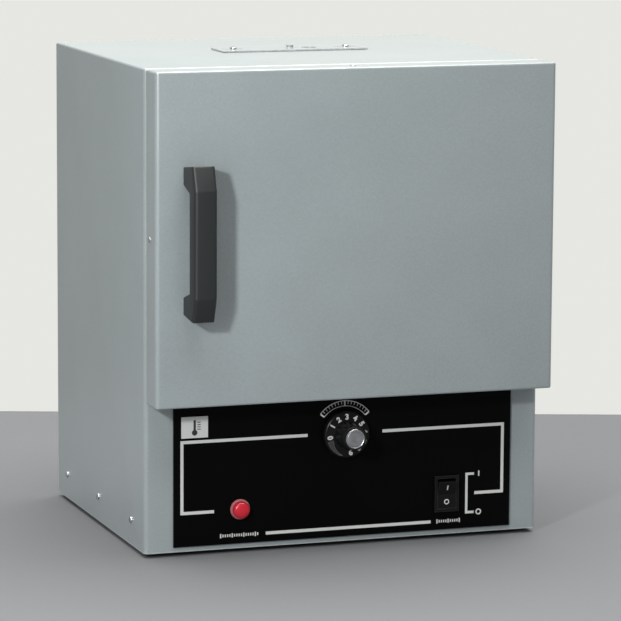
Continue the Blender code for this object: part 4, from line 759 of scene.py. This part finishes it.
def make_numbers():
    middle = (DIAL_X, DIAL_FACE - PRINT_LIFT - PRINT_DEPTH / 2, DIAL_Z)
    bm = bmesh.new()
    for index, digit in enumerate("0123456789"):
        angle = FIRST_NUMBER + (index - 1) * NUMBER_STEP if index else ZERO_TURN
        mesh = text_mesh(digit, NUMBER_SIZE, PRINT_DEPTH)
        mesh.transform(Matrix.Translation(middle) @ Matrix.Rotation(angle, 4, "Y")
                       @ Matrix.Translation((0, 0, NUMBER_RADIUS)))
        bm.from_mesh(mesh)
    piece("dial_numbers", bm, "print_white", "dial")


def make_wedge():
    """A dark grey arc laid on the skirt's face, narrowing from its start to its end."""
    radius, inner_start, inner_gain = 19 * MM, 0.70, 0.26
    start, end, steps = math.radians(-108), math.radians(-166), 24
    outside = arc_points(radius, start, end, steps)
    shares = [inner_start + inner_gain * i / steps for i in range(steps + 1)]
    inside = [(x * share, up * share) for share, (x, up) in zip(shares, outside)]
    bm = bmesh.new()
    outline = moved(outside + inside[::-1], DIAL_X - MIDDLE_X, DIAL_Z - BASE_Z)
    add_plate(bm, outline, DIAL_FACE - PRINT_LIFT - PRINT_DEPTH)
    piece("dial_wedge", bm, "dial_arc_grey", "dial")


def make_dial():
    make_skirt()
    make_grip()
    make_cap()
    make_numbers()
    make_wedge()


# Pilot lamp


def ribbed(angle):
    return 1 - RIB_DEPTH * (0.5 + 0.5 * math.cos(RIBS * angle))


def make_lamp():
    """The pilot lamp: a pale bezel round a ribbed red dome."""
    low, high = box_of("pilot_body")
    centre = middle_of("pilot_body")
    place = (centre.x, PANEL_Y, centre.z)
    radius, front, back = (high.x - low.x) / 2, PANEL_Y - low.y, PANEL_Y - high.y
    seat, seat_edge, crest, brow, stem = 7.4 * MM, 7.6 * MM, 8.1 * MM, 8.6 * MM, 6.2 * MM
    seat_drop, edge_drop, brow_drop, brim_drop, gap = 0.8 * MM, 0.1 * MM, 0.4 * MM, 1.4 * MM, 0.3 * MM
    bezel = [(0, front - seat_drop), (seat, front - seat_drop), (seat_edge, front - edge_drop),
             (crest, front), (brow, front - brow_drop), (radius, front - brim_drop), (radius, gap),
             (stem, gap), (stem, back), (0, back)]
    bm = bmesh.new()
    add_turned(bm, bezel, place, FORWARD)
    piece("pilot_bezel", bm, "lamp_rim", "cabinet", ["pilot_body"])

    lens_low, lens_high = box_of("pilot_lens")
    reach, foot = (lens_high.x - lens_low.x) / 2, PANEL_Y - lens_high.y
    chamfer, chamfer_rise = 0.2 * MM, 0.1 * MM
    dome = dome_profile(reach, foot, lens_high.y - lens_low.y, 0.45, 12)
    bm = bmesh.new()
    add_turned(bm, dome + [(reach, foot + chamfer_rise), (reach - chamfer, foot), (0, foot)], place, FORWARD,
               144, ribbed)
    piece("pilot_dome", bm, "red_lens", "cabinet", ["pilot_lens"])


# Switch marks


def make_switch_marks():
    """I and O on the rocker's two faces. The rocker rests tilted, with its lower half pressed."""
    centre = middle_of("switch_housing")
    pivot_depth, dip, along = 1 * MM, 3.4 * MM, 6.6 * MM
    tilt, slope = math.radians(10), math.atan(2.2 / 12.5)
    bar_half, bar_reach, outer, inner, weld = 0.55 * MM, 2.3 * MM, 2.4 * MM, 1.5 * MM, 0.001 * MM
    half = PRINT_DEPTH / 2
    rest = Matrix.Translation((centre.x, PANEL_Y + pivot_depth, centre.z)) @ Matrix.Rotation(tilt, 4, "X")
    lift = -dip - along * math.tan(slope) - PRINT_LIFT - half
    bm = bmesh.new()
    for sign in (1, -1):
        part = bmesh.new()
        if sign > 0:
            add_box(part, (-bar_half, -half, -bar_reach), (bar_half, half, bar_reach))
        else:
            ring = [(outer, half), (outer, -half), (inner, -half), (inner, half), (outer, half)]
            add_turned(part, ring, (0, 0, 0), (0, 1, 0), 32)
            bmesh.ops.remove_doubles(part, verts=part.verts, dist=weld)
        seat = rest @ Matrix.Translation((0, lift, sign * along)) @ Matrix.Rotation(sign * slope, 4, "X")
        bmesh.ops.transform(part, matrix=seat, verts=part.verts)
        mesh = bpy.data.meshes.new("mark")
        part.to_mesh(mesh)
        part.free()
        bm.from_mesh(mesh)
    piece("switch_marks", bm, "print_white", "rocker")


# Fasteners


def screw_mesh(radius, height, recess):
    """A domed head, with a cross recess where asked, standing on z = 0."""
    bm = bmesh.new()
    dome = dome_profile(radius, 0, height, 0.35, 8)
    add_turned(bm, dome + [(radius, 0), (0, 0)], (0, 0, 0), (0, 0, 1), SCREW_STEPS)
    mesh = bpy.data.meshes.new("screw_head")
    bm.to_mesh(mesh)
    bm.free()
    if not recess:
        shade(mesh)
        return mesh
    made = bpy.data.objects.new("screw_head", mesh)
    bpy.context.scene.collection.objects.link(made)
    arm, width, depth = radius * 0.62, radius * 0.11, height * 0.55
    tools = bmesh.new()
    add_box(tools, (-arm, -width, height - depth), (arm, width, 2 * height))
    cut_with(made, tools)
    # The second slot is a hair wider and shallower, so that no two cut faces coincide
    width, depth = width * 1.01, depth * 0.98
    tools = bmesh.new()
    add_box(tools, (-width, -arm, height - depth), (width, arm, 2 * height))
    cut_with(made, tools)
    mesh = made.data
    bpy.data.objects.remove(made, do_unlink=True)
    return mesh


PAN_HEIGHT = 1.8 * MM
SEAT = 0.05 * MM
PAN_HEAD = screw_mesh(3 * MM, PAN_HEIGHT, True)
RIVET = screw_mesh(2.5 * MM, 1.1 * MM, False)


def place_head(name, mesh, place, direction, body, look="bright_steel", stands_for=(), turn=0.0):
    """One fastener head, with its own copy of the mesh, seated on a face."""
    own = mesh.copy()
    own.transform(Matrix.Translation(place) @ facing(direction) @ Matrix.Rotation(turn, 4, "Z"))
    own.materials.clear()
    own.materials.append(MATERIALS[look])
    made = bpy.data.objects.new(name, own)
    bpy.context.scene.collection.objects.link(made)
    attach(made, body)
    if stands_for:
        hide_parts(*stands_for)


def make_fasteners():
    """Screw heads and rivets. Those that stand for a node of the CAD take its place."""
    for towards, sign, face in (("left", -1, CASE_LOW.x), ("right", 1, CASE_HIGH.x)):
        for number in (1, 2, 3):
            name = f"side_screw_{towards}_{number}"
            centre = middle_of(name)
            place_head(name + "_head", PAN_HEAD, (face + sign * SEAT, centre.y, centre.z), (sign, 0, 0),
                       "cabinet", stands_for=[name], turn=0.5 * number + sign)
    for number, name in enumerate(("slide_screw_left", "slide_screw_right")):
        centre = middle_of(name)
        place = (centre.x, centre.y, box_of(name)[1].z - PAN_HEIGHT)
        place_head(name + "_head", PAN_HEAD, place, (0, 0, 1), "cabinet", stands_for=[name],
                   turn=0.4 + number)
    rivet_inset, row_inset, end_inset, rear_inset, leaf = 15.5 * MM, 9 * MM, 11 * MM, 6 * MM, 1.5 * MM
    middle_z = (DOOR_LOW.z + DOOR_HIGH.z) / 2
    rivet_y = DOOR_HIGH.y - rivet_inset
    for name, place, direction in (
            ("door_rivet_left", (DOOR_LOW.x - SEAT, rivet_y, middle_z), (-1, 0, 0)),
            ("door_rivet_right", (DOOR_HIGH.x + SEAT, rivet_y, middle_z), (1, 0, 0)),
            ("door_rivet_top", (MIDDLE_X, rivet_y, DOOR_HIGH.z + SEAT), (0, 0, 1)),
            ("door_rivet_bottom", (MIDDLE_X, rivet_y, DOOR_LOW.z - SEAT), (0, 0, -1))):
        place_head(name, RIVET, place, direction, "door", "zinc_steel")
    for hinge in ("hinge_lower", "hinge_upper"):
        for side, body in (("case_leaf", "cabinet"), ("door_leaf", "door")):
            low, high = box_of(f"{hinge}_{side}")
            y = high.y - row_inset if side == "case_leaf" else low.y + row_inset
            for number, z in enumerate((low.z + end_inset, high.z - end_inset)):
                place_head(f"{hinge}_{side}_screw_{number + 1}", PAN_HEAD, (CASE_HIGH.x + leaf + SEAT, y, z),
                           (1, 0, 0), body, turn=0.7 * number + y)
    rows = (60 * MM, 220 * MM, 400 * MM)
    spots = [(x, z) for x in (REAR_LOW.x + rear_inset, REAR_HIGH.x - rear_inset) for z in rows]
    spots += [(MIDDLE_X, REAR_HIGH.z - rear_inset), (MIDDLE_X, REAR_LOW.z + rear_inset)]
    for number, (x, z) in enumerate(spots):
        place_head(f"rear_screw_{number + 1}", PAN_HEAD, (x, REAR_HIGH.y + SEAT, z), (0, 1, 0), "cabinet",
                   turn=0.6 * number)


# Stage, lights and camera


def looking():
    """The camera's level direction, and the direction to its right."""
    sine, cosine = math.sin(CAMERA_YAW), math.cos(CAMERA_YAW)
    return Vector((sine, cosine, 0)), Vector((cosine, -sine, 0))


def make_stage():
    """A bench top whose far edge lies where the photograph shows it."""
    ahead, right = looking()
    far = Vector(CAMERA_PLACE) + ahead * FLOOR_EDGE_DISTANCE
    far.z = 0
    near = far - ahead * FLOOR_DEPTH
    corner_points = [near - right * FLOOR_REACH, near + right * FLOOR_REACH, far + right * FLOOR_REACH,
                     far - right * FLOOR_REACH]
    mesh = bpy.data.meshes.new("floor")
    mesh.from_pydata(corner_points, [], [(0, 1, 2, 3)])
    floor = bpy.data.objects.new("floor", mesh)
    bpy.context.scene.collection.objects.link(floor)
    mesh.materials.append(finish("floor_paper", FLOOR_COLOUR, 0.9, fleck=60, mottle=0.02, cloud=0.6, wear_and_highlight=0))


def soft_box(name, turn, rise, distance, wide, tall, power):
    """A soft box aimed at the handle, turned to the left of the front and raised above it."""
    towards = Vector((-math.sin(turn) * math.cos(rise), -math.cos(turn) * math.cos(rise), math.sin(rise)))
    data = bpy.data.lights.new(name, "AREA")
    data.shape = "ELLIPSE"
    data.size = wide
    data.size_y = tall
    data.energy = power
    lamp = bpy.data.objects.new(name, data)
    bpy.context.scene.collection.objects.link(lamp)
    lamp.location = KEY_TARGET + towards * distance
    lamp.rotation_euler = towards.to_track_quat("Z", "Y").to_euler()
    return lamp


def sun(name, towards_light, strength, spread, colour):
    data = bpy.data.lights.new(name, "SUN")
    data.energy = strength
    data.angle = spread
    data.color = colour
    lamp = bpy.data.objects.new(name, data)
    bpy.context.scene.collection.objects.link(lamp)
    lamp.rotation_euler = Vector(towards_light).to_track_quat("Z", "Y").to_euler()


def make_lights():
    world = bpy.data.worlds.new("studio")
    bpy.context.scene.world = world
    world.use_nodes = True
    tree = world.node_tree
    background = tree.nodes["Background"]
    path = node(tree, "ShaderNodeLightPath")
    strength = None
    for ray, level in (("Is Camera Ray", WALL_LEVEL - AMBIENT_LEVEL),
                       ("Is Glossy Ray", GLOSS_LEVEL - AMBIENT_LEVEL),
                       ("Is Transmission Ray", GLOSS_LEVEL - AMBIENT_LEVEL)):
        share = node(tree, "ShaderNodeMath", operation="MULTIPLY_ADD")
        share.inputs[1].default_value = level
        share.inputs[2].default_value = AMBIENT_LEVEL
        tree.links.new(path.outputs[ray], share.inputs[0])
        if strength:
            tree.links.new(strength, share.inputs[2])
        strength = share.outputs[0]
    around = node(tree, "ShaderNodeTexCoord")
    towards_wall = node(tree, "ShaderNodeVectorMath", operation="DOT_PRODUCT")
    towards_wall.inputs[1].default_value = (math.sin(WALL_TURN), math.cos(WALL_TURN), 0)
    behind = node(tree, "ShaderNodeMapRange")
    behind.inputs["From Min"].default_value = WALL_FADE_START
    behind.inputs["From Max"].default_value = WALL_FADE_END
    behind.inputs["To Max"].default_value = WALL_LEVEL - GLOSS_LEVEL
    mirrored = node(tree, "ShaderNodeMath", operation="MULTIPLY_ADD")
    tree.links.new(around.outputs["Generated"], towards_wall.inputs[0])
    tree.links.new(towards_wall.outputs["Value"], behind.inputs["Value"])
    tree.links.new(behind.outputs["Result"], mirrored.inputs[0])
    tree.links.new(path.outputs["Is Glossy Ray"], mirrored.inputs[1])
    tree.links.new(strength, mirrored.inputs[2])
    tree.links.new(mirrored.outputs[0], background.inputs["Strength"])
    background.inputs["Color"].default_value = WALL_COLOUR
    soft_box("key", KEY_TURN, KEY_RISE, KEY_DISTANCE, KEY_SIZE, KEY_SIZE, KEY_POWER)
    edge = soft_box("edge", EDGE_TURN, 0, EDGE_DISTANCE, EDGE_WIDE, EDGE_TALL, EDGE_POWER)
    edge.location.z = EDGE_HEIGHT
    sun("top", TOP_TOWARDS, TOP_STRENGTH, TOP_SPREAD, TOP_COLOUR)


def make_camera():
    data = bpy.data.cameras.new("camera")
    data.sensor_width = CAMERA_SENSOR
    data.lens = CAMERA_LENS
    data.clip_end = CAMERA_REACH
    camera = bpy.data.objects.new("camera", data)
    bpy.context.scene.collection.objects.link(camera)
    camera.location = CAMERA_PLACE
    turn = (Matrix.Rotation(-CAMERA_YAW, 4, "Z") @ Matrix.Rotation(math.pi / 2 - CAMERA_PITCH, 4, "X")
            @ Matrix.Rotation(CAMERA_ROLL, 4, "Z"))
    camera.rotation_euler = turn.to_euler()
    bpy.context.scene.camera = camera


make_camera()
dress_kept_nodes()
make_case()
make_door_skin()
make_door_relief()
make_vent_plate()
make_handle()
make_prints()
make_dial()
make_lamp()
make_switch_marks()
make_fasteners()
make_stage()
make_lights()
bpy.context.scene.view_settings.view_transform = "Standard"
